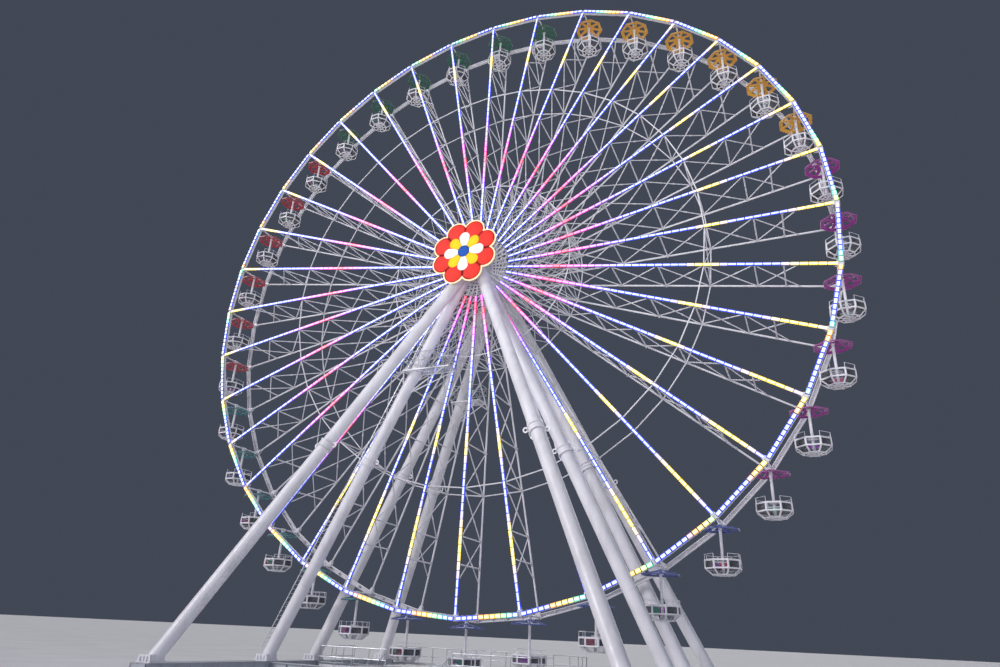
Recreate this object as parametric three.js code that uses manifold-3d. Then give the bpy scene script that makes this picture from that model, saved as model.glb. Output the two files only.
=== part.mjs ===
import * as THREE from 'three';
import { mergeVertices } from 'three/addons/utils/BufferGeometryUtils.js';
import Module from 'manifold-3d';

// A giant fairground wheel with 36 open tub gondolas, made as a model at half size.
// All sizes below are those of the full-size wheel, in millimetres, and the outer group halves them.
// The axle lies along Y, the front faces -Y, and the ground is at Z = 0.
const MODEL_SCALE = 0.5;

// Gap between two faces that touch, on the full-size wheel
const SEAT_GAP = 0.6;
// Triangles of one face that lie within this distance of its plane are merged
const FLATNESS = 0.02;

// The wheel: two rims, each with its own fan of spokes
const SPOKE_COUNT = 36;
const RIM_RADIUS = 24000;
const AXLE_HEIGHT = 27400;
const RIM_PLANE = 1470;
const RIM_HEIGHT = 300;
const RIM_THICKNESS = 220;
const SPOKE_WIDTH = 120;
const SPOKE_ROOT = 700;
const FLANGE_RADIUS = 760;
const FLANGE_THICKNESS = 180;

// The hub drum that carries both fans and turns on the axle
const DRUM_RADIUS = 600;
const DRUM_HALF_LENGTH = 1640;
const BEARING_GAP = 0.8;

// Two rings of ties join the spokes of each fan
const TIE_RADII = [0.295 * RIM_RADIUS, 0.675 * RIM_RADIUS];
const TIE_WIDTH = 80;

// Crossed rods between the front and the rear spokes, in panels that end at these shares of the radius
const TRUSS_SHARES = [0.17, 0.295, 0.422, 0.553, 0.675, 0.8];
const TRUSS_WIDTH = 80;
const TRUSS_HALF_DEPTH = RIM_PLANE - SPOKE_WIDTH / 2 - SEAT_GAP;
const LINK_RADIUS = TIE_RADII[0];
const LINK_WIDTH = TRUSS_WIDTH / 2;

// The fixed axle and the housings that hold its ends
const AXLE_RADIUS = 350;
const AXLE_FRONT = 3740;
const AXLE_REAR = 3100;
const AXLE_SIDES = 24;
const HEAD_RADIUS = 660;
const HEAD_NEAR = 1740;
const HEAD_FAR = 2950;
const END_CAP_RADIUS = 620;
const END_CAP_THICKNESS = 120;

// The legs, each two tubes bolted at a collar, on a square shoe. The two of a pair spread from one point.
const LEG_RADIUS = 400;
const LEG_SIDES = 12;
const LEG_TOP_X = 200;
const LEG_TOP_Y = 2100;
const LEG_FOOT_X = 13000;
const LEG_JOINT_SHARE = 0.535;
const COLLAR_RADIUS = 520;
const COLLAR_LENGTH = 320;
const INNER_LEG = { name: 'inner', footY: 2400 };
const OUTER_LEG = { name: 'outer', footY: 11330 };
const SHOE_SIZE = 1100;
const SHOE_HEIGHT = 400;

// Service platforms on two of the left legs, measured down from the axle
const SERVICE_DROP = 8150;
const SERVICE_LEFT = 620;
const SERVICE_RIGHT = { front: 3000, rear: 1900 };
const SERVICE_INNER = 500;
const SERVICE_OUTER = 750;
const SERVICE_THICKNESS = 90;

// The base frame on the ground
const BASE_HEIGHT = 500;
const SIDE_BEAM_WIDTH = 1200;
const SIDE_BEAM_HALF_LENGTH = 12100;
const CROSS_BEAM_WIDTH = 500;

// The boarding decks in front of and behind the path of the gondolas
const DECK_HALF_LENGTH = 6500;
const DECK_TOP = 560;
const DECK_THICKNESS = 110;
const DECK_INNER_EDGE = 1260;
const DECK_FRONT_EDGE = 5600;
const DECK_REAR_EDGE = 3900;
const BEARER_WIDTH = 160;
const FRONT_BEARERS = 3;
const REAR_BEARERS = 2;
const STEP_COUNT = 3;
const STEP_GOING = 320;
const STEP_HALF_WIDTH = 2000;
// The decks rest on the cross beams
const CROSS_BEAM_HEIGHT = DECK_TOP - DECK_THICKNESS - SEAT_GAP;

// The flower sign on the front end of the axle
const PETAL_COUNT = 8;
const PETAL_CIRCLE = 1750;
const PETAL_RADIUS = 850;
const PETAL_SEGMENTS = 5;
const FLOWER_THICKNESS = 260;

// A gondola, measured down from its shaft between the rims, but for the mast's top, which is above it
const GONDOLA_SIDES = 8;
const SHAFT_WIDTH = 110;
const SHAFT_END_GAP = 1.8;
const MAST_RADIUS = 80;
const MAST_TOP = 90;
const CANOPY_RADIUS = 1100;
const CANOPY_CROWN_RADIUS = 150;
const CANOPY_CROWN = 210;
const CANOPY_EDGE = 430;
const CANOPY_RIM = 70;
const TUB_RADIUS = 1010;
const TUB_TOP = 2100;
const TUB_WAIST = 2550;
const TUB_BOTTOM = 2880;
const TUB_FLOOR_RADIUS = 600;
const TUB_WALL = 60;

const WHITE = 0xe9e9ec;
const DECK_GREY = 0xb9bcc0;
const FLOWER_RED = 0xd8251d;
// Gondolas are counted clockwise from this spoke, seen from the front, with canopies in runs of one colour
const FIRST_GONDOLA_SPOKE = 19;
const CANOPY_COLOURS = [0xb52a22, 0x1f7a4a, 0xe39a1e, 0x8b2a8f, 0x2450a8, 0x1b8f95];
const CANOPY_RUN = SPOKE_COUNT / CANOPY_COLOURS.length;

const wasm = await Module();
wasm.setup();

// A closed mesh as a solid that can be joined and cut
function solidOf(geometry) {
  const bare = geometry.clone();
  bare.deleteAttribute('normal');
  bare.deleteAttribute('uv');
  const merged = mergeVertices(bare, 1e-3);
  const corners = merged.index.array;
  const triangles = [];
  for (let i = 0; i < corners.length; i += 3) {
    const [a, b, c] = [corners[i], corners[i + 1], corners[i + 2]];
    if (a !== b && b !== c && c !== a) triangles.push(a, b, c);
  }
  const mesh = new wasm.Mesh({
    numProp: 3,
    vertProperties: new Float32Array(merged.attributes.position.array),
    triVerts: new Uint32Array(triangles),
  });
  return new wasm.Manifold(mesh);
}

// A joined or cut solid as a geometry, with the triangles of its flat faces merged
function geometryOf(solid) {
  const mesh = solid.asOriginal().simplify(FLATNESS).getMesh();
  const geometry = new THREE.BufferGeometry();
  geometry.setAttribute('position', new THREE.BufferAttribute(mesh.vertProperties, 3));
  geometry.setIndex(new THREE.BufferAttribute(mesh.triVerts, 1));
  geometry.computeVertexNormals();
  return geometry;
}

function joined(geometries) {
  const [first, ...others] = geometries.map(solidOf);
  return others.reduce((whole, piece) => whole.add(piece), first);
}

const flatPoints = (corners) => corners.map(([x, y]) => new THREE.Vector2(x, y));

// A solid turned about the Y axis from a profile of [radius, y] points
function turned(profile, sides, startAngle = 0) {
  return new THREE.LatheGeometry(flatPoints(profile), sides, startAngle);
}

function ring(innerRadius, outerRadius, yFrom, yTo, sides, startAngle = 0) {
  const profile = [
    [innerRadius, yFrom],
    [outerRadius, yFrom],
    [outerRadius, yTo],
    [innerRadius, yTo],
    [innerRadius, yFrom],
  ];
  return turned(profile, sides, startAngle);
}

function disc(radius, yFrom, yTo, sides) {
  return turned([[0, yFrom], [radius, yFrom], [radius, yTo], [0, yTo]], sides);
}

function block(xFrom, xTo, yFrom, yTo, zFrom, zTo) {
  const geometry = new THREE.BoxGeometry(xTo - xFrom, yTo - yFrom, zTo - zFrom);
  return geometry.translate((xFrom + xTo) / 2, (yFrom + yTo) / 2, (zFrom + zTo) / 2);
}

const ALONG_Y = new THREE.Vector3(0, 1, 0);

// Spokes are counted from +X towards the top
const spokeAngle = (index) => (index * 2 * Math.PI) / SPOKE_COUNT;

const group = new THREE.Group();
group.scale.setScalar(MODEL_SCALE);
const wheel = new THREE.Group();
wheel.position.z = AXLE_HEIGHT;
group.add(wheel);

function addPiece(name, geometry, colour, parent = group) {
  const material = new THREE.MeshStandardMaterial({ color: colour, roughness: 0.45, metalness: 0.3 });
  const mesh = new THREE.Mesh(geometry, material);
  mesh.name = name;
  parent.add(mesh);
  return mesh;
}

// One flat side of the wheel: a rim of straight beams, its spokes, their ties and the hub flange
function wheelSide(planeY) {
  const rim = ring(
    RIM_RADIUS - RIM_HEIGHT / 2,
    RIM_RADIUS + RIM_HEIGHT / 2,
    planeY - RIM_THICKNESS / 2,
    planeY + RIM_THICKNESS / 2,
    SPOKE_COUNT,
  );
  const flange = ring(
    DRUM_RADIUS + SEAT_GAP,
    FLANGE_RADIUS,
    planeY - FLANGE_THICKNESS / 2,
    planeY + FLANGE_THICKNESS / 2,
    SPOKE_COUNT,
    spokeAngle(0.5),
  );
  const half = SPOKE_WIDTH / 2;
  const spokes = [];
  for (let index = 0; index < SPOKE_COUNT; index += 1) {
    const spoke = block(SPOKE_ROOT, RIM_RADIUS, planeY - half, planeY + half, -half, half);
    spokes.push(spoke.rotateY(-spokeAngle(index)));
  }
  const halfTie = TIE_WIDTH / 2;
  const ties = TIE_RADII.map((radius) => (
    ring(radius - halfTie, radius + halfTie, planeY - halfTie, planeY + halfTie, SPOKE_COUNT)
  ));
  return geometryOf(joined([rim, flange, ...spokes, ...ties]));
}

// A square rod between two points, a little longer than the way between them
function rod(start, end, width) {
  const direction = end.clone().sub(start);
  const length = direction.length() + width;
  const turn = new THREE.Quaternion().setFromUnitVectors(new THREE.Vector3(1, 0, 0), direction.normalize());
  const middle = start.clone().lerp(end, 0.5);
  const bar = new THREE.BoxGeometry(length, width, width);
  return bar.applyQuaternion(turn).translate(middle.x, middle.y, middle.z);
}

// One truss as a flat outline, with X along the spoke and Y along the axle: crossed rods in each panel,
// which leave notches along both sides and a diamond of air between two panels
function trussOutline() {
  const seat = TRUSS_HALF_DEPTH;
  const panels = TRUSS_SHARES.slice(1).map((share, index) => {
    const near = TRUSS_SHARES[index] * RIM_RADIUS;
    const far = share * RIM_RADIUS;
    const length = far - near;
    // Half the width of a slanting rod, measured along the spoke
    const half = ((TRUSS_WIDTH / 2) * Math.hypot(length, 2 * seat)) / (2 * seat);
    return { near, far, length, half, middle: (near + far) / 2 };
  });
  const upper = panels.flatMap(({ near, far, length, half, middle }) => [
    [near + half, seat],
    [middle, (2 * half * seat) / length],
    [far - half, seat],
  ]);
  const lower = upper.map(([x, y]) => [x, -y]).reverse();
  const first = panels[0];
  const last = panels[panels.length - 1];
  const corners = [
    [first.near - first.half, -seat],
    [first.middle - first.half, 0],
    [first.near - first.half, seat],
    ...upper,
    [last.far + last.half, seat],
    [last.middle + last.half, 0],
    [last.far + last.half, -seat],
    ...lower,
  ];
  const outline = new THREE.Shape(flatPoints(corners));
  for (let index = 1; index < panels.length; index += 1) {
    const [before, after] = [panels[index - 1], panels[index]];
    const drop = (2 * seat * (before.half + after.half)) / (before.length + after.length);
    const x = before.far + (drop * after.length) / (2 * seat) - after.half;
    const diamond = [
      [before.middle + before.half, 0],
      [x, drop - seat],
      [after.middle - after.half, 0],
      [x, seat - drop],
    ];
    outline.holes.push(new THREE.Path(flatPoints(diamond)));
  }
  return outline;
}

// The trusses of all the spokes as one lattice, held together by slanting rods from each to the next
function wheelTrusses() {
  const truss = new THREE.ExtrudeGeometry(trussOutline(), { depth: TRUSS_WIDTH, bevelEnabled: false });
  truss.translate(0, 0, -TRUSS_WIDTH / 2);
  const inset = TRUSS_HALF_DEPTH - TRUSS_WIDTH / 2;
  const linkEnd = (side, index) => (
    new THREE.Vector3(LINK_RADIUS, side * inset, 0).applyAxisAngle(ALONG_Y, -spokeAngle(index))
  );
  const pieces = [];
  for (let index = 0; index < SPOKE_COUNT; index += 1) {
    pieces.push(truss.clone().rotateY(-spokeAngle(index)));
    pieces.push(rod(linkEnd(-1, index), linkEnd(1, index + 1), LINK_WIDTH));
  }
  return geometryOf(joined(pieces));
}

// The drum, whose flat bore faces just clear the corners of the axle as it turns
function hubDrum() {
  const start = spokeAngle(0.5);
  const boreRadius = (AXLE_RADIUS + BEARING_GAP) / Math.cos(start);
  return ring(boreRadius, DRUM_RADIUS, -DRUM_HALF_LENGTH, DRUM_HALF_LENGTH, SPOKE_COUNT, start);
}

// The axle, with a plain round cap on its rear end
function axleShaft() {
  const profile = [
    [0, -AXLE_FRONT],
    [AXLE_RADIUS, -AXLE_FRONT],
    [AXLE_RADIUS, AXLE_REAR],
    [END_CAP_RADIUS, AXLE_REAR],
    [END_CAP_RADIUS, AXLE_REAR + END_CAP_THICKNESS],
    [0, AXLE_REAR + END_CAP_THICKNESS],
  ];
  return turned(profile, AXLE_SIDES);
}

// The housing at the top of a trestle, round the axle
function trestleHead(side) {
  const [yFrom, yTo] = side < 0 ? [-HEAD_FAR, -HEAD_NEAR] : [HEAD_NEAR, HEAD_FAR];
  return ring(AXLE_RADIUS + SEAT_GAP, HEAD_RADIUS, yFrom, yTo, AXLE_SIDES);
}

// The two ends of a leg's centre line, at the axle and on the base frame
function legEnds(sideX, sideY, leg) {
  return {
    top: new THREE.Vector3(sideX * LEG_TOP_X, sideY * LEG_TOP_Y, AXLE_HEIGHT),
    foot: new THREE.Vector3(sideX * LEG_FOOT_X, sideY * leg.footY, BASE_HEIGHT),
  };
}

// A leg's tube with its collar, made larger all round by a margin where it cuts another piece
function legTube({ foot, top }, margin = 0) {
  const length = top.distanceTo(foot);
  const joint = length * (1 - LEG_JOINT_SHARE);
  const radius = LEG_RADIUS + margin;
  const profile = [
    [0, -LEG_RADIUS],
    [radius, -LEG_RADIUS],
    [radius, joint - COLLAR_LENGTH / 2],
    [COLLAR_RADIUS, joint - COLLAR_LENGTH / 2],
    [COLLAR_RADIUS, joint + COLLAR_LENGTH / 2],
    [radius, joint + COLLAR_LENGTH / 2],
    [radius, length],
    [0, length],
  ];
  const direction = top.clone().sub(foot).normalize();
  const turn = new THREE.Quaternion().setFromUnitVectors(ALONG_Y, direction);
  return turned(profile, LEG_SIDES).applyQuaternion(turn).translate(foot.x, foot.y, foot.z);
}

// A platform beside a leg, a little less deep on the side of the wheel
function servicePlate({ foot, top }, right) {
  const share = SERVICE_DROP / (top.z - foot.z);
  const centre = top.clone().lerp(foot, share);
  const inFront = centre.y < 0;
  return block(
    centre.x - SERVICE_LEFT,
    centre.x + right,
    centre.y - (inFront ? SERVICE_OUTER : SERVICE_INNER),
    centre.y + (inFront ? SERVICE_INNER : SERVICE_OUTER),
    centre.z - SERVICE_THICKNESS / 2,
    centre.z + SERVICE_THICKNESS / 2,
  );
}

// A leg with its shoe, cut level on the base frame and hollowed to seat on the axle housing.
// The outer leg of a pair is also coped round the inner one.
function trestleLeg(sideX, sideY, leg, platformRight) {
  const ends = legEnds(sideX, sideY, leg);
  const foot = ends.foot;
  const seat = BASE_HEIGHT + SEAT_GAP;
  const half = SHOE_SIZE / 2;
  const shoe = block(foot.x - half, foot.x + half, foot.y - half, foot.y + half, seat, seat + SHOE_HEIGHT);
  const pieces = [legTube(ends), shoe];
  if (platformRight) pieces.push(servicePlate(ends, platformRight));
  const below = block(
    foot.x - SHOE_SIZE,
    foot.x + SHOE_SIZE,
    foot.y - SHOE_SIZE,
    foot.y + SHOE_SIZE,
    seat - SHOE_SIZE,
    seat,
  );
  const head = disc(HEAD_RADIUS + SEAT_GAP, -2 * HEAD_FAR, 2 * HEAD_FAR, AXLE_SIDES);
  head.translate(0, 0, AXLE_HEIGHT);
  const whole = joined(pieces).subtract(solidOf(below)).subtract(solidOf(head));
  if (leg === INNER_LEG) return geometryOf(whole);
  return geometryOf(whole.subtract(solidOf(legTube(legEnds(sideX, sideY, INNER_LEG), SEAT_GAP))));
}

// Eight round petals as one outline, made thick towards the rear
function flowerSign() {
  const petalStep = (2 * Math.PI) / PETAL_COUNT;
  const notchSide = PETAL_CIRCLE * Math.sin(petalStep / 2);
  const notchDistance =
    PETAL_CIRCLE * Math.cos(petalStep / 2) + Math.sqrt(PETAL_RADIUS ** 2 - notchSide ** 2);
  const halfSweep = Math.atan2(
    notchDistance * Math.sin(petalStep / 2),
    notchDistance * Math.cos(petalStep / 2) - PETAL_CIRCLE,
  );
  const points = [];
  for (let petal = 0; petal < PETAL_COUNT; petal += 1) {
    const angle = (petal + 0.5) * petalStep;
    for (let segment = 0; segment < PETAL_SEGMENTS; segment += 1) {
      const turn = angle - halfSweep + (2 * halfSweep * segment) / PETAL_SEGMENTS;
      points.push([
        PETAL_CIRCLE * Math.cos(angle) + PETAL_RADIUS * Math.cos(turn),
        PETAL_CIRCLE * Math.sin(angle) + PETAL_RADIUS * Math.sin(turn),
      ]);
    }
  }
  const outline = new THREE.Shape(flatPoints(points));
  const sign = new THREE.ExtrudeGeometry(outline, { depth: FLOWER_THICKNESS, bevelEnabled: false });
  return sign.rotateX(Math.PI / 2);
}

// A gondola: an octagonal tub and a canopy, solid down to its rim, on one mast hung from a square shaft
function gondola() {
  const profile = [
    [0, -TUB_BOTTOM],
    [TUB_FLOOR_RADIUS, -TUB_BOTTOM],
    [TUB_RADIUS, -TUB_WAIST],
    [TUB_RADIUS, -TUB_TOP],
    [TUB_RADIUS - TUB_WALL, -TUB_TOP],
    [TUB_RADIUS - TUB_WALL, -TUB_WAIST + TUB_WALL / 2],
    [TUB_FLOOR_RADIUS - TUB_WALL / 2, -TUB_BOTTOM + TUB_WALL],
    [MAST_RADIUS, -TUB_BOTTOM + TUB_WALL],
    [MAST_RADIUS, -CANOPY_EDGE - CANOPY_RIM],
    [CANOPY_RADIUS, -CANOPY_EDGE - CANOPY_RIM],
    [CANOPY_RADIUS, -CANOPY_EDGE],
    [CANOPY_CROWN_RADIUS, -CANOPY_CROWN],
    [CANOPY_CROWN_RADIUS, MAST_TOP],
    [0, MAST_TOP],
  ];
  const body = turned(profile, GONDOLA_SIDES, Math.PI / GONDOLA_SIDES).rotateX(Math.PI / 2);
  const end = RIM_PLANE - RIM_THICKNESS / 2 - SHAFT_END_GAP;
  const half = SHAFT_WIDTH / 2;
  return geometryOf(joined([body, block(-half, half, -end, end, -half, half)]));
}

// A deck on long bearers, from its inner edge beside the gondolas to its outer edge
function boardingDeck(side, outerEdge, bearerCount) {
  const across = (near, far) => (side < 0 ? [-far, -near] : [near, far]);
  const underside = DECK_TOP - DECK_THICKNESS;
  const slab = block(
    -DECK_HALF_LENGTH,
    DECK_HALF_LENGTH,
    ...across(DECK_INNER_EDGE, outerEdge),
    underside,
    DECK_TOP,
  );
  const pieces = [slab];
  const span = outerEdge - DECK_INNER_EDGE - BEARER_WIDTH;
  const length = DECK_HALF_LENGTH - BEARER_WIDTH;
  for (let bearer = 0; bearer < bearerCount; bearer += 1) {
    const near = DECK_INNER_EDGE + (span * bearer) / (bearerCount - 1);
    const bearerTop = underside + DECK_THICKNESS / 2;
    pieces.push(block(-length, length, ...across(near, near + BEARER_WIDTH), 0, bearerTop));
  }
  if (side < 0) pieces.push(frontSteps(outerEdge));
  return geometryOf(joined(pieces));
}

// Steps up to the front deck, as one solid flight that reaches a little under the deck's edge
function frontSteps(deckEdge) {
  const rise = DECK_TOP / (STEP_COUNT + 1);
  const outline = [[-deckEdge + BEARER_WIDTH / 2, 0]];
  outline.push([-deckEdge - STEP_COUNT * STEP_GOING, 0]);
  for (let step = 1; step <= STEP_COUNT; step += 1) {
    const edge = -deckEdge - (STEP_COUNT - step + 1) * STEP_GOING;
    outline.push([edge, step * rise], [edge + STEP_GOING, step * rise]);
  }
  outline.push([-deckEdge + BEARER_WIDTH / 2, STEP_COUNT * rise]);
  const shape = new THREE.Shape(flatPoints(outline));
  const flight = new THREE.ExtrudeGeometry(shape, { depth: 2 * STEP_HALF_WIDTH, bevelEnabled: false });
  flight.rotateX(Math.PI / 2).rotateZ(Math.PI / 2);
  return flight.translate(-STEP_HALF_WIDTH, 0, 0);
}

addPiece('wheel_front', wheelSide(-RIM_PLANE), WHITE, wheel);
addPiece('wheel_rear', wheelSide(RIM_PLANE), WHITE, wheel);
addPiece('wheel_trusses', wheelTrusses(), WHITE, wheel);
addPiece('hub_drum', hubDrum(), WHITE, wheel);
addPiece('axle', axleShaft(), WHITE, wheel);
addPiece('head_front', trestleHead(-1), WHITE, wheel);
addPiece('head_rear', trestleHead(1), WHITE, wheel);
addPiece('flower_sign', flowerSign(), FLOWER_RED, wheel).position.y = -AXLE_FRONT - SEAT_GAP;

for (let index = 0; index < SPOKE_COUNT; index += 1) {
  const colour = CANOPY_COLOURS[Math.floor(index / CANOPY_RUN)];
  const name = `gondola_${String(index + 1).padStart(2, '0')}`;
  const mesh = addPiece(name, gondola(), colour, wheel);
  const angle = spokeAngle(FIRST_GONDOLA_SPOKE - index);
  mesh.position.set(RIM_RADIUS * Math.cos(angle), 0, RIM_RADIUS * Math.sin(angle));
}

for (const [sideY, frontOrRear] of [[-1, 'front'], [1, 'rear']]) {
  for (const [sideX, leftOrRight] of [[-1, 'left'], [1, 'right']]) {
    for (const leg of [INNER_LEG, OUTER_LEG]) {
      // The platforms stand on the front inner and the rear outer left leg
      const hasPlatform = sideX < 0 && (sideY < 0) === (leg === INNER_LEG);
      const platformRight = hasPlatform ? SERVICE_RIGHT[frontOrRear] : 0;
      const name = `leg_${frontOrRear}_${leftOrRight}_${leg.name}`;
      addPiece(name, trestleLeg(sideX, sideY, leg, platformRight), WHITE);
    }
  }
}

const halfSide = SIDE_BEAM_WIDTH / 2;
const crossEnd = LEG_FOOT_X - halfSide - SEAT_GAP;
const halfCross = CROSS_BEAM_WIDTH / 2;
for (const [side, name] of [[-1, 'base_beam_left'], [1, 'base_beam_right']]) {
  const x = side * LEG_FOOT_X;
  const length = SIDE_BEAM_HALF_LENGTH;
  addPiece(name, block(x - halfSide, x + halfSide, -length, length, 0, BASE_HEIGHT), WHITE);
}
for (const [side, name] of [[-1, 'base_tie_front'], [1, 'base_tie_rear']]) {
  const y = side * INNER_LEG.footY;
  addPiece(name, block(-crossEnd, crossEnd, y - halfCross, y + halfCross, 0, CROSS_BEAM_HEIGHT), WHITE);
}
addPiece('deck_front', boardingDeck(-1, DECK_FRONT_EDGE, FRONT_BEARERS), DECK_GREY);
addPiece('deck_rear', boardingDeck(1, DECK_REAR_EDGE, REAR_BEARERS), DECK_GREY);

export default group;
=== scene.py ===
from itertools import product
from math import acos, asin, atan2, cos, pi, radians, sin, sqrt, tan

import bmesh
import bpy
import numpy as np
from mathutils import Matrix, Vector


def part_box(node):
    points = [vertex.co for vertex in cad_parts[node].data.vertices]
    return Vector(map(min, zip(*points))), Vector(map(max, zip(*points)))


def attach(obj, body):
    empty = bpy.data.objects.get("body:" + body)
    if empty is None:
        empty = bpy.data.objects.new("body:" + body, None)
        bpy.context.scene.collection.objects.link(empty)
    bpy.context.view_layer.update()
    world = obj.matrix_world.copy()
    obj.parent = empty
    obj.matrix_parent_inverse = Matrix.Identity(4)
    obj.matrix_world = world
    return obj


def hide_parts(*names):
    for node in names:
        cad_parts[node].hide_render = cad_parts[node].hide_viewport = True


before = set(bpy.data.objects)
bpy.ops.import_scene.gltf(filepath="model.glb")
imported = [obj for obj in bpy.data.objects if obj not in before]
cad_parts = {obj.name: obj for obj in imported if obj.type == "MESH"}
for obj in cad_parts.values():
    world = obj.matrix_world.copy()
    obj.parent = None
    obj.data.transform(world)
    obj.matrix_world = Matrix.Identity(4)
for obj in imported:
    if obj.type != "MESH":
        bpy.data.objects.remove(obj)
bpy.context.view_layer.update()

# A giant fairground wheel, shown as a model at half size.
# Sizes below are those of the full-size wheel, in metres, and every mesh is halved as it is made.
# The axle lies along Y, the front faces -Y, and the ground is at Z = 0.
SCALE = 0.5

# The wheel
SPOKES = 36
STEP = 2 * pi / SPOKES
RIM_RADIUS = 24.0
AXLE_HEIGHT = 27.4
RIM_PLANE = 1.47
SPOKE_ROOT = 0.70
CHORD_RADIUS = 0.06
RIM_INNER, RIM_OUTER = -0.15, 0.12
RIM_DEPTH = 0.22
CHANNEL_DEPTH, CHANNEL_WEB = 0.20, 0.025
NODE_GAP = 0.08
RIM_HALF = RIM_RADIUS * sin(STEP / 2) - NODE_GAP
RIM_CHORD = RIM_RADIUS * cos(STEP / 2)
RIM_MIDDLE = RIM_CHORD + (RIM_INNER + RIM_OUTER) / 2
RING_SHARES = (0.295, 0.675)
PANEL_ENDS = (0.075, 0.17, 0.295, 0.422, 0.553, 0.675, 0.80, 0.905)
STRUT_SHARES = PANEL_ENDS[1:-1] + (0.87,)
COLLAR_SHARE = 0.553
# The bays of the outer ring that have crossed rods between the two sides
CROSSED_BAYS = (23, 35)

# The light modules on the front of the wheel
SPOKE_LIGHTS = 42
LIGHTS_FROM, LIGHTS_TO = 2.4, 23.78
SPOKE_LIGHT_HALF = 0.232
RIM_LIGHTS = 11
RIM_LIGHT_PITCH = 0.364
RIM_LIGHT_HALF = 0.147
LIGHT_CLIPS, CLIP_PITCH = 11, 2.08
# Spokes are counted clockwise from the one at 190 degrees, as seen from the front
FIRST_SPOKE = 19
LAST_OF_THE_TURN = 31

# Hub, axle and housings
DRUM_RADIUS = 0.60
DRUM_HALF_LENGTH = 1.64
FLANGE_RADIUS = 0.76
AXLE_RADIUS = 0.35
AXLE_FRONT = 3.74
AXLE_REAR = 3.10
HEAD_RADIUS = 0.66
HEAD_NEAR, HEAD_FAR = 1.74, 2.95
DRUM_RIBS, HEAD_RIBS = 12, 24
CAP_RADIUS = 0.62
CAP_THICKNESS = 0.12

# The legs
LEG_RADIUS = 0.40
LEG_TOP_X, LEG_TOP_Y = 0.20, 2.10
LEG_FOOT_X = 13.0
LEG_FOOT_Y = {"inner": 2.40, "outer": 11.33}
SEAM_SHARES = (0.12, 0.26, 0.42, 0.66, 0.83)
JOINT_SHARE = 0.535
BAND_RADIUS = 0.455
COLLAR_RADIUS = 0.50
COLLAR_LENGTH = 0.44
SHOE_SIZE = 1.10
SHOE_HEIGHT = 0.40
SERVICE_DROP = 8.15
SERVICE_LEFT = 0.62
SERVICE_RIGHT = {"front": 3.00, "rear": 1.90}
SERVICE_INNER = 0.50
SERVICE_OUTER = 0.75
SERVICE_THICKNESS = 0.09
SERVICE_STRUT_DROP = 1.5
LADDER_OFFSET = np.array((-0.62, -0.10, 0.0))

# The base
BASE_HEIGHT = 0.50
SIDE_BEAM_WIDTH = 1.20
SIDE_BEAM_HALF_LENGTH = 12.10
CROSS_BEAM_WIDTH = 0.50
DECK_HALF_LENGTH = 6.50
DECK_TOP = 0.56
DECK_THICKNESS = 0.11
DECK_INNER_EDGE = 1.26
DECK_OUTER_EDGE = {"front": 5.60, "rear": 3.90}
BOARD_WIDTH = 0.29
STEP_COUNT = 3
STEP_GOING = 0.32
STEP_HALF_WIDTH = 2.00
CROSS_BEAM_HEIGHT = DECK_TOP - DECK_THICKNESS

# The flower
PETALS = 8
PETAL_CIRCLE = 1.75
PETAL_RADIUS = 0.85
FLOWER_THICKNESS = 0.26
TUBE_RADIUS = 0.052
CENTRE_RADIUS = 0.46

# A gondola, measured from its shaft
MAST_RADIUS = 0.08
MAST_TOP = 0.09
CANOPY_RADIUS = 1.10
CROWN_RADIUS = 0.15
CANOPY_CROWN = -0.21
CANOPY_EDGE = -0.43
CANOPY_RIM = 0.07
TUB_RADIUS = 1.01
TUB_TOP, TUB_WAIST, TUB_BOTTOM = -2.10, -2.55, -2.88
FLOOR_RADIUS = 0.60
FRAME_DEPTH = 0.035
ROSETTE_RADIUS, ROSETTE_HOLE = 0.33, 0.12
HAND_WHEEL_RADIUS = 0.27
HAND_WHEEL_LEVEL = -2.02
RAIL_HEIGHT = 0.30
DOOR_SIDE = 6
CANOPY_COLOURS = ("red", "green", "orange", "purple", "blue", "teal")
SEAT_COLOURS = ("red", "purple", "green")

# The photograph's camera, in the model's metres from the front rim's centre, and a small turn about the axle
CAMERA_OFFSET = (10.177, -19.663, -12.310)
CAMERA_YAW = 24.975
CAMERA_PITCH = 23.675
CAMERA_ROLL = 3.164
CAMERA_TURN = 0.41
CAMERA_LENS = 24.56


# Shapes: a solid is a pair of points and faces

def unit(vector):
    vector = np.asarray(vector, float)
    return vector / np.linalg.norm(vector)


def circle(radius, sides, start=0.0):
    turn = start + np.arange(sides) * 2 * pi / sides
    return np.stack([radius * np.cos(turn), radius * np.sin(turn)], axis=1)


def ring_on(centre, axes, radius, sides):
    """A circle of points about a centre that lies along two directions."""
    return centre + circle(radius, sides) @ np.array(axes)


def oblong(width, height, chamfer=0.0):
    """A rectangle about its centre, with its corners cut off if a chamfer is given."""
    x, y, c = width / 2, height / 2, chamfer
    if not c:
        return np.array([(x, -y), (x, y), (-x, y), (-x, -y)])
    half = np.array([(x - c, -y), (x, -y + c), (x, y - c), (x - c, y)])
    return np.concatenate([half, -half])


def lofted(loops, ring=False):
    """A skin over matching loops of points, closed at its ends or from the last loop to the first."""
    count, rows = len(loops[0]), len(loops)
    faces = []
    for row in range(rows if ring else rows - 1):
        low, high = row * count, (row + 1) % rows * count
        for side in range(count):
            following = (side + 1) % count
            faces.append((low + side, low + following, high + following, high + side))
    if not ring:
        faces.append(tuple(reversed(range(count))))
        faces.append(tuple(range((rows - 1) * count, rows * count)))
    return np.concatenate(loops), faces


def axes_along(along, up):
    """Two directions across a bar, the second as near to up as it can be."""
    up = np.asarray(up, float)
    if abs(np.dot(along, unit(up))) > 0.99:
        up = np.array((1.0, 0.0, 0.0)) if abs(along[0]) < 0.9 else np.array((0.0, 1.0, 0.0))
    second = unit(up - along * np.dot(up, along))
    return np.array([np.cross(second, along), second])


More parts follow.
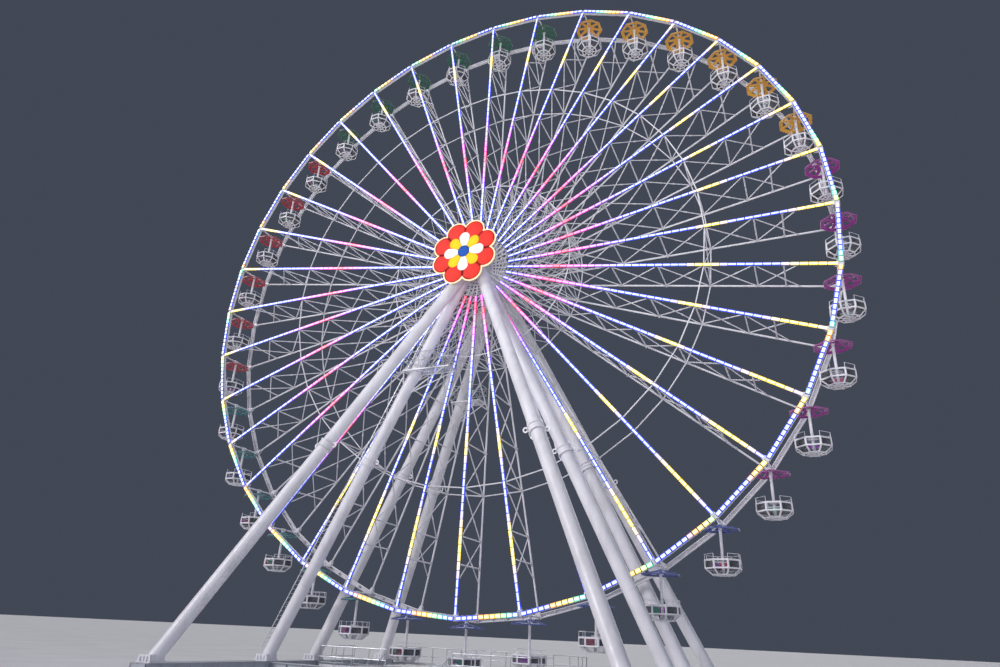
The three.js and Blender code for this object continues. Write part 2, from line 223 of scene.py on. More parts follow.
def bar(start, end, section, up=(0, 0, 1)):
    """A straight bar between two points, with a flat section of points."""
    start, end = np.asarray(start, float), np.asarray(end, float)
    across = section @ axes_along(unit(end - start), up)
    return lofted([start + across, end + across])


def rod(start, end, radius, sides=8):
    return bar(start, end, circle(radius, sides))


def block(first, second, chamfer=0.0):
    """A box between two opposite corners, given in any order."""
    low, high = np.minimum(first, second), np.maximum(first, second)
    x, y, _ = (low + high) / 2
    section = oblong(high[1] - low[1], high[0] - low[0], chamfer)
    return bar((x, y, low[2]), (x, y, high[2]), section, up=(1, 0, 0))


def turned(profile, sides, ring=False):
    """A profile of (radius, height) points turned about Z."""
    loops = [np.column_stack([circle(radius, sides), np.full(sides, height)]) for radius, height in profile]
    return lofted(loops, ring)


def tube(path, radius, sides=8, closed=False, normal=(0, 0, 1)):
    """A round tube along a flat path whose plane has this normal."""
    path = [np.asarray(point, float) for point in path]
    normal = unit(normal)
    loops = []
    for index, point in enumerate(path):
        before = path[index - 1] if index or closed else None
        after = path[(index + 1) % len(path)] if index + 1 < len(path) or closed else None
        into = unit(point - before) if before is not None else unit(after - point)
        out = unit(after - point) if after is not None else into
        along = unit(into + out)
        side = np.cross(normal, along) / max(np.dot(along, out), 0.3)
        loops.append(ring_on(point, (side, normal), radius, sides))
    return lofted(loops, ring=closed)


def plate(outline, depth):
    """An outline of points made thick along a vector."""
    outline = np.asarray(outline, float)
    return lofted([outline, outline + depth])


def softened(corners, reach, steps):
    """A polygon with its corners rounded over a reach, and matching points on its sharp outline."""
    corners = np.asarray(corners, float)
    round_points, sharp_points = [], []
    for index, corner in enumerate(corners):
        before = unit(corners[index - 1] - corner) * reach
        after = unit(corners[(index + 1) % len(corners)] - corner) * reach
        for t in np.linspace(0, 1, steps + 1):
            round_points.append(corner + (1 - t) ** 2 * before + t ** 2 * after)
            sharp_points.append(corner + max(1 - 2 * t, 0) * before + max(2 * t - 1, 0) * after)
    return np.array(round_points), np.array(sharp_points)


def framed_panel(outer, inner, depth, reach=0.05, steps=4):
    """A flat panel with one round-cornered window, whose corners match the panel's own."""
    _, edge = softened(outer, reach, steps)
    window, _ = softened(inner, reach, steps)
    return lofted([edge, window, window + depth, edge + depth], ring=True)


def window_pane(inner, depth):
    """The pane in a framed panel's window, a third of the panel's depth."""
    window, _ = softened(inner, 0.05, 4)
    return lofted([window + depth / 3, window + depth * 2 / 3])


def cushion(outline, centre, height, rows=5):
    """A flat outline that swells along a vector towards its centre, and how far in each point is."""
    loops, depths = [], []
    for row in range(rows + 1):
        turn = row / rows * pi / 2 * 0.96
        loops.append(centre + (outline - centre) * cos(turn) + np.array(height) * sin(turn))
        depths += [1 - cos(turn)] * len(outline)
    return lofted(loops), depths


def turned_about_y(angle):
    """A turn from +X towards +Z, which is anticlockwise as seen from the front."""
    return Matrix.Rotation(-angle, 4, "Y")


HUB = Matrix.Translation((0, 0, AXLE_HEIGHT))
# The place of a turned solid whose own axis becomes the axle's
ON_THE_AXLE = HUB @ Matrix.Rotation(-pi / 2, 4, "X")


def around(index):
    """The place of a spoke, with X along it, counted from +X towards the top."""
    return HUB @ turned_about_y(index * STEP)


def round_hub(index, count):
    """The place of one of a count of equal parts round the hub, counted like the spokes."""
    return HUB @ turned_about_y(index * 2 * pi / count)


class Shape:
    """The faces of one piece, each with a number for its material, and a light phase for each point."""

    def __init__(self):
        self.points, self.faces, self.kinds, self.phases = [], [], [], []
        self.count = 0

    def add(self, solid, kind=0, place=Matrix(), phase=0.0):
        points, faces = solid
        self.join(points, faces, [kind] * len(faces), np.broadcast_to(phase, len(points)), place)

    def add_shape(self, other, place):
        """Adds a placed copy of another shape."""
        self.join(np.concatenate(other.points), other.faces, other.kinds, np.concatenate(other.phases), place)

    def join(self, points, faces, kinds, phases, place):
        matrix = np.array(place)
        self.points.append(points @ matrix[:3, :3].T + matrix[:3, 3])
        self.faces += [tuple(corner + self.count for corner in face) for face in faces]
        self.kinds += kinds
        self.phases.append(phases)
        self.count += len(points)

    def mesh(self, name, sharp=35):
        mesh = bpy.data.meshes.new(name)
        points = np.concatenate(self.points) * SCALE
        mesh.from_pydata(points.tolist(), [], self.faces)
        mesh.polygons.foreach_set("material_index", self.kinds)
        phase = mesh.attributes.new("phase", "FLOAT", "POINT")
        phase.data.foreach_set("value", np.concatenate(self.phases).astype(np.float32))
        work = bmesh.new()
        work.from_mesh(mesh)
        bmesh.ops.recalc_face_normals(work, faces=work.faces)
        work.to_mesh(mesh)
        work.free()
        mesh.shade_smooth()
        mesh.set_sharp_from_angle(angle=radians(sharp))
        return mesh


def in_scene(name, data):
    """A new object in the scene."""
    made = bpy.data.objects.new(name, data)
    bpy.context.scene.collection.objects.link(made)
    return made


def place_piece(name, mesh, looks, body, stands_for=(), location=(0, 0, 0)):
    """One piece of the scene, riding on a body, that may stand for some of the plain solids."""
    made = in_scene(name, mesh)
    made.location = location
    while len(mesh.materials) < len(looks):
        mesh.materials.append(None)
    for index, look in enumerate(looks):
        made.material_slots[index].link = "OBJECT"
        made.material_slots[index].material = look
    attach(made, body)
    if stands_for:
        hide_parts(*stands_for)


def piece(name, shape, looks, body, stands_for=()):
    place_piece(name, shape.mesh(name), looks, body, stands_for)


# Materials

class Look:
    """A material and the nodes in it. Nodes are named without the ShaderNode that all of them start with."""

    def __init__(self, name):
        self.material = bpy.data.materials.new(name)
        self.material.use_nodes = True
        self.tree = self.material.node_tree
        self.tree.nodes.clear()
        self.where = self.node("TexCoord").outputs["Object"]

    def node(self, kind, inputs=None, **settings):
        made = self.tree.nodes.new("ShaderNode" + kind)
        for key, value in settings.items():
            setattr(made, key, value)
        for key, value in (inputs or {}).items():
            if isinstance(value, bpy.types.NodeSocket):
                self.tree.links.new(value, made.inputs[key])
            else:
                made.inputs[key].default_value = value
        return made

    def phase(self):
        """The light phase of a point."""
        return self.node("Attribute", attribute_name="phase", attribute_type="GEOMETRY").outputs["Fac"]

    def ramp(self, factor, stops):
        made = self.node("ValToRGB", {"Fac": factor})
        elements = made.color_ramp.elements
        while len(elements) < len(stops):
            elements.new(0.5)
        for element, (position, colour) in zip(elements, stops):
            element.position = position
            element.color = (*colour, 1.0)
        return made.outputs["Color"]

    def noise(self, scale, detail, stretch=(1, 1, 1)):
        spread = self.node("Mapping", {"Vector": self.where, "Scale": stretch}).outputs["Vector"]
        return self.node("TexNoise", {"Vector": spread, "Scale": scale, "Detail": detail}).outputs["Fac"]

    def between(self, factor, low, high, low_in=0.3, high_in=0.7):
        inputs = {"Value": factor, "From Min": low_in, "From Max": high_in, "To Min": low, "To Max": high}
        return self.node("MapRange", inputs).outputs["Result"]

    def math(self, kind, first, second):
        return self.node("Math", {0: first, 1: second}, operation=kind).outputs["Value"]

    def mixed(self, factor, base, colour):
        """A base colour that gives way to a flat one."""
        return self.node("Mix", {0: factor, 6: base, 7: (*colour, 1.0)}, data_type="RGBA").outputs[2]

    def worn_edges(self, radius):
        """1 on outer edges and 0 on flat faces, broken up by noise."""
        soft = self.node("Bevel", {"Radius": radius}, samples=4).outputs["Normal"]
        flat = self.node("NewGeometry").outputs["Normal"]
        facing = self.node("VectorMath", {0: soft, 1: flat}, operation="DOT_PRODUCT").outputs["Value"]
        edge = self.between(facing, 1.0, 0.0, 0.80, 0.99)
        return self.math("MULTIPLY", edge, self.between(self.noise(9.0, 6.0), 0.0, 1.0, 0.42, 0.62))

    def bump(self, height, strength, distance):
        inputs = {"Height": height, "Strength": strength, "Distance": distance}
        return self.node("Bump", inputs).outputs["Normal"]

    def finished(self, inputs):
        """The material with one shader that has these inputs."""
        shader = self.node("BsdfPrincipled", inputs)
        self.node("OutputMaterial", {"Surface": shader.outputs["BSDF"]})
        return self.material


def tone(colour, factor):
    return tuple(min(channel * factor, 1.0) for channel in colour)


def painted(name, colour, grime, worn, roughness=(0.28, 0.5), edge=0.012, coat=0.0):
    """Paint over metal or plastic: cloudy colour, dusty streaks that run down, and edges worn through."""
    look = Look(name)
    stops = ((0.3, tone(colour, 0.88)), (0.55, colour), (0.75, tone(colour, 1.06)))
    base = look.ramp(look.noise(1.3, 5.0), stops)
    streaks = look.between(look.noise(5.0, 6.0, (1.0, 1.0, 0.12)), 0.0, 0.34, 0.5, 0.72)
    dusty = look.mixed(streaks, base, grime)
    return look.finished({
        "Base Color": look.mixed(look.worn_edges(edge), dusty, worn),
        "Roughness": look.between(look.noise(7.0, 5.0), *roughness),
        "Coat Weight": coat,
        "Normal": look.bump(look.noise(46.0, 3.0), 0.12, 0.004),
    })


def brushed(name, colour):
    """Bare zinc-coated or rolled metal with a spangled, streaky face."""
    look = Look(name)
    spangle = look.node("TexVoronoi", {"Vector": look.where, "Scale": 42.0}).outputs["Color"]
    patch = look.ramp(spangle, ((0.2, tone(colour, 0.82)), (0.8, tone(colour, 1.1))))
    stains = look.between(look.noise(3.0, 6.0), 0.0, 0.5, 0.5, 0.75)
    brush = look.noise(30.0, 4.0, (0.15, 1.0, 1.0))
    return look.finished({
        "Base Color": look.mixed(stains, patch, tone(colour, 0.55)),
        "Metallic": 0.85,
        "Roughness": look.between(brush, 0.32, 0.55),
        "Normal": look.bump(brush, 0.15, 0.003),
    })


def lit_by_phase(name, stops):
    """A light whose colour follows the phase of its point, on ribbed plastic."""
    look = Look(name)
    colour = look.ramp(look.phase(), stops)
    ribs = look.noise(60.0, 2.0)
    return look.finished({
        "Base Color": colour,
        "Roughness": look.between(ribs, 0.25, 0.45),
        "Emission Color": colour,
        "Emission Strength": look.between(ribs, 0.85, 1.15),
        "Normal": look.bump(ribs, 0.1, 0.002),
    })


def lit_acrylic(name, edge, middle, strength):
    """A lit acrylic face with painted shade, darker at its edge and brighter in its middle, with a faint
    mottle.
    """
    look = Look(name)
    mottle = look.noise(3.0, 4.0)
    depth = look.math("ADD", look.phase(), look.between(mottle, -0.06, 0.06))
    # how far in a point is picks its colour: the edge colour is painted shade, and the deepest points are
    # lighter still, a painted highlight
    colour = look.ramp(depth, ((0.0, edge), (0.16, middle), (1.0, tone(middle, 1.12))))
    fine = look.noise(40.0, 3.0)
    return look.finished({
        "Base Color": colour,
        "Roughness": look.between(fine, 0.45, 0.6),
        "Specular IOR Level": 0.10,
        "Emission Color": colour,
        "Emission Strength": look.between(mottle, strength * 0.9, strength * 1.1),
        "Normal": look.bump(fine, 0.06, 0.002),
    })


def clear_plastic(name):
    """Slightly scratched and dusty clear plastic."""
    look = Look(name)
    haze = look.noise(6.0, 6.0)
    return look.finished({
        "Base Color": look.ramp(haze, ((0.3, (0.30, 0.35, 0.40)), (0.7, (0.45, 0.50, 0.55)))),
        "Roughness": look.between(haze, 0.05, 0.20),
        "Alpha": look.between(haze, 0.05, 0.12),
        "Normal": look.bump(look.noise(50.0, 2.0, (0.1, 1.0, 1.0)), 0.05, 0.002),
    })


def ribbed_boards(name, colour):
    """Rolled boards with small ribs along X, painted shade between them, painted highlight on their tops, and
    patches of dirt.
    """
    look = Look(name)
    inputs = {"Vector": look.where, "Scale": 22.0, "Distortion": 0.3}
    ribs = look.node("TexWave", inputs, wave_type="BANDS", bands_direction="Y").outputs["Fac"]
    dirt = look.between(look.noise(1.6, 6.0), 0.0, 0.55, 0.42, 0.7)
    # the ribs' colour is painted light: darker in the grooves as painted shade, lighter on the tops as
    # painted highlight
    rib_shade_and_highlight = look.ramp(ribs, ((0.0, tone(colour, 0.7)), (0.6, colour), (1.0, tone(colour, 1.15))))
    return look.finished({
        "Base Color": look.mixed(dirt, rib_shade_and_highlight, tone(colour, 0.5)),
        "Metallic": 0.6,
        "Roughness": look.between(look.noise(9.0, 5.0), 0.35, 0.6),
        "Normal": look.bump(ribs, 0.4, 0.004),
    })


# The light's colours, and what each is in the middle of its module
BLUE = (0.03, 0.08, 1.0)
VIOLET = (0.30, 0.06, 1.0)
MAGENTA = (0.95, 0.04, 0.55)
RED = (1.0, 0.03, 0.06)
YELLOW = (1.0, 0.72, 0.05)
ORANGE = (1.0, 0.32, 0.03)
GREEN = (0.10, 0.95, 0.35)
CORES = {
    BLUE: (0.66, 0.72, 1.0), VIOLET: (0.68, 0.52, 1.0), MAGENTA: (1.0, 0.42, 0.78), RED: (1.0, 0.22, 0.30),
    YELLOW: (1.0, 0.91, 0.50), ORANGE: (1.0, 0.72, 0.42), GREEN: (0.72, 1.0, 0.78),
}
# The colours travel outward along the spokes, and each spoke and each side of the rim is a little further on
SPOKE_TRAVEL, SPOKE_PHASES = 0.0152, 1.6
RIM_TRAVEL, RIM_PHASES = 0.075, 1.35
SPOKE_STOPS = tuple((at / SPOKE_PHASES, colour) for at, colour in (
    (0.0, BLUE), (0.42, BLUE), (0.48, VIOLET), (0.53, MAGENTA), (0.565, RED), (0.61, MAGENTA), (0.68, VIOLET),
    (0.76, BLUE), (0.93, BLUE), (0.965, YELLOW), (1.0, YELLOW), (1.04, BLUE), (1.16, BLUE), (1.21, YELLOW),
    (1.28, YELLOW), (1.34, BLUE), (1.6, BLUE),
))
RIM_STOPS = ((0.0, BLUE), (0.50, BLUE), (0.66, GREEN), (0.76, YELLOW), (0.94, ORANGE), (1.0, BLUE))

# Paint is given by its colour, its grime and what shows through it, then its roughness, edge width and coat
WHITE_STEEL = painted("white_steel", (0.80, 0.79, 0.83), (0.52, 0.51, 0.53), (0.42, 0.42, 0.45))
BASE_STEEL = painted("base_steel", (0.42, 0.45, 0.49), (0.28, 0.26, 0.24), (0.30, 0.27, 0.25), (0.4, 0.65))
GALVANISED = brushed("galvanised", (0.62, 0.64, 0.67))
DECK_BOARDS = ribbed_boards("deck_boards", (0.60, 0.61, 0.63))
TUB_WHITE = painted("tub_white", (0.85, 0.84, 0.88), (0.60, 0.58, 0.60), (0.48, 0.48, 0.52), (0.2, 0.4),
                    0.006)
TUB_WINDOW = clear_plastic("tub_window")
LED_HOUSING = painted("led_housing", (0.055, 0.06, 0.085), (0.14, 0.14, 0.15), (0.2, 0.2, 0.22), (0.45, 0.65))
SPOKE_GLOW = lit_by_phase("spoke_glow", SPOKE_STOPS)
SPOKE_CORE = lit_by_phase("spoke_core", tuple((at, CORES[colour]) for at, colour in SPOKE_STOPS))
RIM_GLOW = lit_by_phase("rim_glow", RIM_STOPS)
RIM_CORE = lit_by_phase("rim_core", tuple((at, CORES[colour]) for at, colour in RIM_STOPS))
# each flower look runs from a painted-shade colour at its edge to its lit colour in the middle
FLOWER_RED = lit_acrylic("flower_red", (0.16, 0.002, 0.004), (0.66, 0.036, 0.026), 0.28)
FLOWER_WHITE = lit_acrylic("flower_white", (0.50, 0.45, 0.38), (0.88, 0.88, 0.85), 0.3)
FLOWER_YELLOW = lit_acrylic("flower_yellow", (0.42, 0.20, 0.004), (0.78, 0.52, 0.014), 0.3)
FLOWER_BLUE = lit_acrylic("flower_blue", (0.006, 0.02, 0.14), (0.010, 0.075, 0.36), 0.3)
FLOWER_TUBE = lit_acrylic("flower_tube", (0.95, 0.50, 0.20), (0.95, 0.70, 0.42), 0.5)
CANOPY_LOOKS, SEAT_LOOKS = {}, {}
for name, colour in {
    "red": (0.50, 0.012, 0.035), "green": (0.008, 0.15, 0.07), "orange": (0.90, 0.44, 0.035),
    "purple": (0.40, 0.02, 0.34), "blue": (0.02, 0.07, 0.40), "teal": (0.01, 0.22, 0.25),
}.items():
    # the ribs, rim and crown take a paler copy of the canopy's colour, a painted highlight on the raised
    # parts
    pale = tuple(0.7 * channel + 0.10 for channel in colour)
    CANOPY_LOOKS[name] = [
        painted("canopy_" + name, colour, tone(colour, 0.55), tone(colour, 1.5), (0.25, 0.42), 0.008, 0.3),
        painted("canopy_rib_highlight_" + name, pale, tone(colour, 0.7), (0.6, 0.58, 0.55), (0.25, 0.42), 0.006),
    ]
# a near-black shell behind and under the seats: painted shade inside the tub, so the windows read dark
SEAT_SHADE_SHELL = painted("seat_shade_shell", (0.025, 0.024, 0.03), (0.06, 0.06, 0.065), (0.12, 0.12, 0.12), (0.4, 0.6))
for name, colour in {
    "red": (0.40, 0.015, 0.08), "purple": (0.28, 0.02, 0.40), "green": (0.015, 0.28, 0.16),
}.items():
    dark, pale = tone(colour, 0.6), tone(colour, 1.6)
    SEAT_LOOKS[name] = painted("seat_" + name, colour, dark, pale, (0.22, 0.4), 0.006, 0.4)


# The wheel

def bolt(shape, base, along, radius, height):
    """A six-sided bolt head that stands on a face, with a washer under it."""
    base, along = np.asarray(base, float), np.asarray(along, float)
    shape.add(rod(base, base + along * height * 0.3, radius * 1.35, 10))
    shape.add(rod(base, base + along * height, radius, 6))


def bolt_ring(shape, count, ring_radius, y, facing, radius, height, start=0.0):
    """Bolts in a ring about the axle, on a face that looks along +Y or -Y."""
    for x, z in circle(ring_radius, count, start):
        bolt(shape, (x, y, AXLE_HEIGHT + z), (0, facing, 0), radius, height)


def rim_end_plate(beam, y, side, width, depth):
    near, far = (RIM_MIDDLE, y, side * RIM_HALF), (RIM_MIDDLE, y, side * (RIM_HALF + 0.035))
    beam.add(bar(near, far, oblong(width, depth, 0.02), up=(0, 1, 0)))


def front_rim_beam():
    """One straight box beam of the front rim, with bolted end plates and cleats."""
    beam, y = Shape(), -RIM_PLANE
    section = oblong(RIM_OUTER - RIM_INNER, RIM_DEPTH, 0.02)
    beam.add(bar((RIM_MIDDLE, y, -RIM_HALF), (RIM_MIDDLE, y, RIM_HALF), section, up=(0, 1, 0)))
    for side in (-1, 1):
        rim_end_plate(beam, y, side, 0.32, RIM_DEPTH + 0.06)
        for out, across in product((-0.13, 0.13), (-0.09, 0.09)):
            base = (RIM_MIDDLE + out, y + across, side * (RIM_HALF - 0.001))
            bolt(beam, base, (0, 0, -side), 0.018, 0.022)
        for back in (0.35, 0.7):
            z = side * (RIM_HALF - back)
            low = (RIM_MIDDLE - 0.165, y - 0.10, z - 0.01)
            beam.add(block(low, (RIM_MIDDLE - 0.13, y + 0.10, z + 0.01)))
    return beam


def rear_rim_beam():
    """One straight channel of the rear rim, open towards the front, with stiffening plates."""
    beam = Shape()
    low, high = RIM_CHORD + RIM_INNER, RIM_CHORD + RIM_OUTER
    front, back = RIM_PLANE - CHANNEL_DEPTH / 2, RIM_PLANE + CHANNEL_DEPTH / 2 - CHANNEL_WEB
    beam.add(block((low, back, -RIM_HALF), (high, back + CHANNEL_WEB, RIM_HALF)))
    for x in (low, high - 0.05):
        beam.add(block((x, front, -RIM_HALF), (x + 0.05, back, RIM_HALF), 0.01))
    for z in np.linspace(0.02 - RIM_HALF, RIM_HALF - 0.02, 5):
        beam.add(block((low + 0.05, front + 0.02, z - 0.012), (high - 0.05, back, z + 0.012)))
    for side in (-1, 1):
        rim_end_plate(beam, RIM_PLANE, side, 0.33, CHANNEL_DEPTH + 0.05)
    return beam


def rim_knuckle(y):
    """Where two rim beams, a spoke and a gondola's shaft meet."""
    knuckle = Shape()
    knuckle.add(block((RIM_RADIUS - 0.15, y - 0.10, -0.09), (RIM_RADIUS + 0.10, y + 0.10, 0.09), 0.03))
    flat = ((0.08, -0.16), (0.08, 0.16), (-0.18, 0.16), (-0.45, 0.05), (-0.45, -0.05), (-0.18, -0.16))
    for side in (-1, 1):
        outline = [(RIM_RADIUS + x, y + side * 0.10, z) for x, z in flat]
        knuckle.add(plate(outline, (0, side * 0.018, 0)))
        for x, z in ((0.02, 0.12), (0.02, -0.12), (-0.14, 0.12), (-0.14, -0.12), (-0.32, 0.0), (-0.40, 0.0)):
            bolt(knuckle, (RIM_RADIUS + x, y + side * 0.118, z), (0, side, 0), 0.016, 0.016)
    # the shaft's bush looks towards the other side of the wheel
    knuckle.add(rod((RIM_RADIUS, y, 0), (RIM_RADIUS, y - np.sign(y) * 0.11, 0), 0.10, 16))
    return knuckle


def spoke_tube(y):
    """One spoke's tube, narrowed to an eye at the hub, with its bolted joint and a sleeve at each ring."""
    spoke = Shape()
    spoke.add(rod((SPOKE_ROOT + 0.30, y, 0), (RIM_RADIUS - 0.18, y, 0), CHORD_RADIUS, 12))
    spoke.add(lofted([
        ring_on((SPOKE_ROOT + reach, y, 0), ((0, 1, 0), (0, 0, 1)), radius, 12)
        for reach, radius in ((-0.03, 0.030), (0.06, 0.034), (0.24, 0.055), (0.30, CHORD_RADIUS))
    ]))
    joint = COLLAR_SHARE * RIM_RADIUS
    for x in (joint + 0.02, joint - 0.02):
        spoke.add(rod((x - 0.015, y, 0), (x + 0.015, y, 0), 0.115, 16))
    for across, z in circle(0.088, 6):
        bolt(spoke, (joint + 0.035, y + across, z), (1, 0, 0), 0.014, 0.018)
    for share in RING_SHARES:
        x = share * RIM_RADIUS
        spoke.add(rod((x - 0.09, y, 0), (x + 0.09, y, 0), 0.078, 12))
    return spoke


def truss():
    """The rods between the front and the rear tube of one spoke, with plates at the struts' ends."""
    rods = Shape()
    inner = RIM_PLANE - CHORD_RADIUS * 0.7
    flat = ((-0.16, 0.05), (0.16, 0.05), (0.07, 0.20), (-0.07, 0.20))
    for share in STRUT_SHARES:
        x = share * RIM_RADIUS
        rods.add(rod((x, -inner, 0), (x, inner, 0), 0.045))
        for side in (-1, 1):
            outline = [(x + along, side * (RIM_PLANE - back), -0.008) for along, back in flat]
            rods.add(plate(outline, (0, 0, 0.016)))
    for near, far in zip(PANEL_ENDS, PANEL_ENDS[1:]):
        for side in (-1, 1):
            # each rod of a cross passes the other at its own depth
            start = np.array((near * RIM_RADIUS, side * inner, side * 0.03))
            end = np.array((far * RIM_RADIUS, -side * inner, side * 0.03))
            rods.add(rod(start, end, 0.036, 6))
            middle, along = (start + end) / 2, unit(end - start)
            rods.add(rod(middle + along * 0.35, middle + along * 0.60, 0.050))
    return rods


def ring_ties():
    """The two rings of rods that join the spokes, the crossed rods of the bays and the stays near the hub."""
    shape = Shape()
    for index in range(SPOKES):
        middle = around(index + 0.5)
        for share in RING_SHARES:
            half, out = share * RIM_RADIUS * sin(STEP / 2), share * RIM_RADIUS * cos(STEP / 2)
            for y in (-RIM_PLANE, RIM_PLANE):
                shape.add(rod((out, y, -half), (out, y, half), 0.042), place=middle)
            if share == RING_SHARES[1] and index not in CROSSED_BAYS:
                continue
            for y in (-RIM_PLANE, RIM_PLANE):
                shape.add(rod((out, y, -half), (out, -y, half), 0.028, 6), place=middle)
        # stays that fan in from the inner ring to the next spoke's first strut
        for turn, y in product((-1, 1), (-RIM_PLANE, RIM_PLANE)):
            here = around(index) @ Vector((RING_SHARES[0] * RIM_RADIUS, y, 0))
            there = around(index + turn) @ Vector((STRUT_SHARES[0] * RIM_RADIUS, -y, 0))
            shape.add(rod(here, there, 0.020, 6))
    piece("ring_ties", shape, [WHITE_STEEL], "wheel")


def hub_flange(shape, y):
    """The two cheeks that hold one fan's spoke roots, with a raised inner edge, ribs and bolts."""
    inner, outer = DRUM_RADIUS, FLANGE_RADIUS
    outline = [
        (inner, 0.030), (outer - 0.005, 0.030), (outer, 0.035), (outer, 0.060), (outer - 0.015, 0.068),
        (inner + 0.035, 0.068), (inner + 0.028, 0.088), (inner, 0.088),
    ]
    for facing in (-1, 1):
        profile = [(radius, y + facing * depth) for radius, depth in outline]
        shape.add(turned(profile, 72, ring=True), place=ON_THE_AXLE)
        face = y + facing * 0.068
        bolt_ring(shape, SPOKES, outer - 0.045, face, facing, 0.016, 0.022)
        bolt_ring(shape, SPOKES, inner + 0.065, face, facing, 0.012, 0.018, start=STEP / 2)
    rib = block((inner, y - 0.035, -0.010), (outer - 0.01, y + 0.035, 0.010))
    for index in range(SPOKES):
        shape.add(rib, place=around(index + 0.5))


def wheel_side(name, side):
    """One flat side of the wheel: rim, spokes and hub flange."""
    shape, y = Shape(), side * RIM_PLANE
    beam = front_rim_beam() if side < 0 else rear_rim_beam()
    knuckle, spoke = rim_knuckle(y), spoke_tube(y)
    for index in range(SPOKES):
        shape.add_shape(beam, around(index + 0.5))
        shape.add_shape(knuckle, around(index))
        shape.add_shape(spoke, around(index))
    hub_flange(shape, y)
    piece(name + "_steel", shape, [WHITE_STEEL], "wheel", [name])


def spoke_trusses():
    shape, rods = Shape(), truss()
    for index in range(SPOKES):
        shape.add_shape(rods, around(index))
    piece("spoke_trusses", shape, [WHITE_STEEL], "wheel", ["wheel_trusses"])


def hub_drum():
    """The drum between the flanges, with ribs, hand-hole covers and a bearing ring at each end."""
    shape = Shape()
    end, shell = DRUM_HALF_LENGTH, DRUM_RADIUS - 0.05
    half = [
        (AXLE_RADIUS + 0.004, end), (0.50, end), (0.50, end - 0.03), (shell, end - 0.04),
        (DRUM_RADIUS, end - 0.07), (DRUM_RADIUS, end - 0.28), (shell, end - 0.33), (shell, 0.10),
        (shell + 0.03, 0.08),
    ]
    profile = [(radius, -y) for radius, y in half] + half[::-1]
    shape.add(turned(profile, 72, ring=True), place=ON_THE_AXLE)
    rib = block((shell - 0.02, 0.32 - end, -0.015), (DRUM_RADIUS - 0.005, end - 0.32, 0.015))
    cover = plate(ring_on((shell - 0.012, 0, 0), ((0, 1, 0), (0, 0, 1)), 0.10, 20), (0.03, 0, 0))
    for index in range(DRUM_RIBS):
        shape.add(rib, place=round_hub(index + 0.5, DRUM_RIBS))
        if index % 3 == 0:
            for y in (0.7, -0.7):
                shape.add(cover, place=round_hub(index, DRUM_RIBS) @ Matrix.Translation((0, y, 0)))
    for facing in (-1, 1):
        bolt_ring(shape, 18, 0.44, facing * end, facing, 0.020, 0.028)
    piece("hub_drum_steel", shape, [WHITE_STEEL], "wheel", ["hub_drum"])


def travel_of(index):
    """How far round the colours have got at a spoke that is counted from +X towards the top."""
    turn = (FIRST_SPOKE - index) % SPOKES
    return turn if turn <= LAST_OF_THE_TURN else turn - SPOKES


def light_module(shape, start, end, width, front, depth, core, place, phase):
    """A lit block on a housing, coloured at its sides, with a pale face."""
    start, end = np.asarray(start, float), np.asarray(end, float)
    start[1] = end[1] = front - depth / 2
    shape.add(bar(start, end, oblong(width, depth, 0.012), up=(0, 1, 0)), 1, place, phase)
    inset = unit(end - start) * 0.008
    start[1] = end[1] = front - depth - 0.004
    shape.add(bar(start + inset, end - inset, oblong(core, 0.012), up=(0, 1, 0)), 2, place, phase)


def spoke_lights():
    """Light strips on the front tubes of the spokes."""
    channel = Shape()
    back = -RIM_PLANE - CHORD_RADIUS + 0.01
    low, high = LIGHTS_FROM - 0.04, LIGHTS_TO + 0.02
    channel.add(block((low, back - 0.03, -0.10), (high, back, 0.10)))
    for side in (-1, 1):
        channel.add(block((low, back - 0.055, side * 0.10), (high, back, side * 0.112)))
    for clip in range(LIGHT_CLIPS):
        x = LIGHTS_FROM + 0.3 + clip * CLIP_PITCH
        for side in (-1, 1):
            channel.add(block((x - 0.03, back - 0.002, side * 0.115), (x + 0.03, back + 0.10, side * 0.06)))
    shape = Shape()
    for index in range(SPOKES):
        place = around(index)
        shape.add_shape(channel, place)
        for number in range(SPOKE_LIGHTS):
            middle = LIGHTS_FROM + (number + 0.5) * (LIGHTS_TO - LIGHTS_FROM) / SPOKE_LIGHTS
            share = middle / RIM_RADIUS + SPOKE_TRAVEL * travel_of(index)
            start, end = (middle - SPOKE_LIGHT_HALF, 0, 0), (middle + SPOKE_LIGHT_HALF, 0, 0)
            phase = max(share, 0.0) / SPOKE_PHASES
            light_module(shape, start, end, 0.20, back - 0.03, 0.05, 0.11, place, phase)
    piece("spoke_lights", shape, [LED_HOUSING, SPOKE_GLOW, SPOKE_CORE], "wheel")


def rim_lights():
    """Light strips on the front of the rim."""
    shape = Shape()
    front = -RIM_PLANE - RIM_DEPTH / 2
    low = (RIM_MIDDLE - 0.125, front - 0.03, 0.01 - RIM_HALF)
    housing = block(low, (RIM_MIDDLE + 0.125, front, RIM_HALF - 0.01))
    for index in range(SPOKES):
        place = around(index + 0.5)
        shape.add(housing, 0, place)
        for number in range(RIM_LIGHTS):
            z = (number - (RIM_LIGHTS - 1) / 2) * RIM_LIGHT_PITCH
            # along the beam from the spoke that comes first going clockwise
            along = 1 - (number + 0.5) / RIM_LIGHTS
            phase = ((along - RIM_TRAVEL * travel_of(index + 1)) / RIM_PHASES) % 1
            start, end = (RIM_MIDDLE, 0, z - RIM_LIGHT_HALF), (RIM_MIDDLE, 0, z + RIM_LIGHT_HALF)
            light_module(shape, start, end, 0.24, front - 0.03, 0.06, 0.16, place, phase)
    piece("rim_lights", shape, [LED_HOUSING, RIM_GLOW, RIM_CORE], "wheel")


# Axle, housings and flower

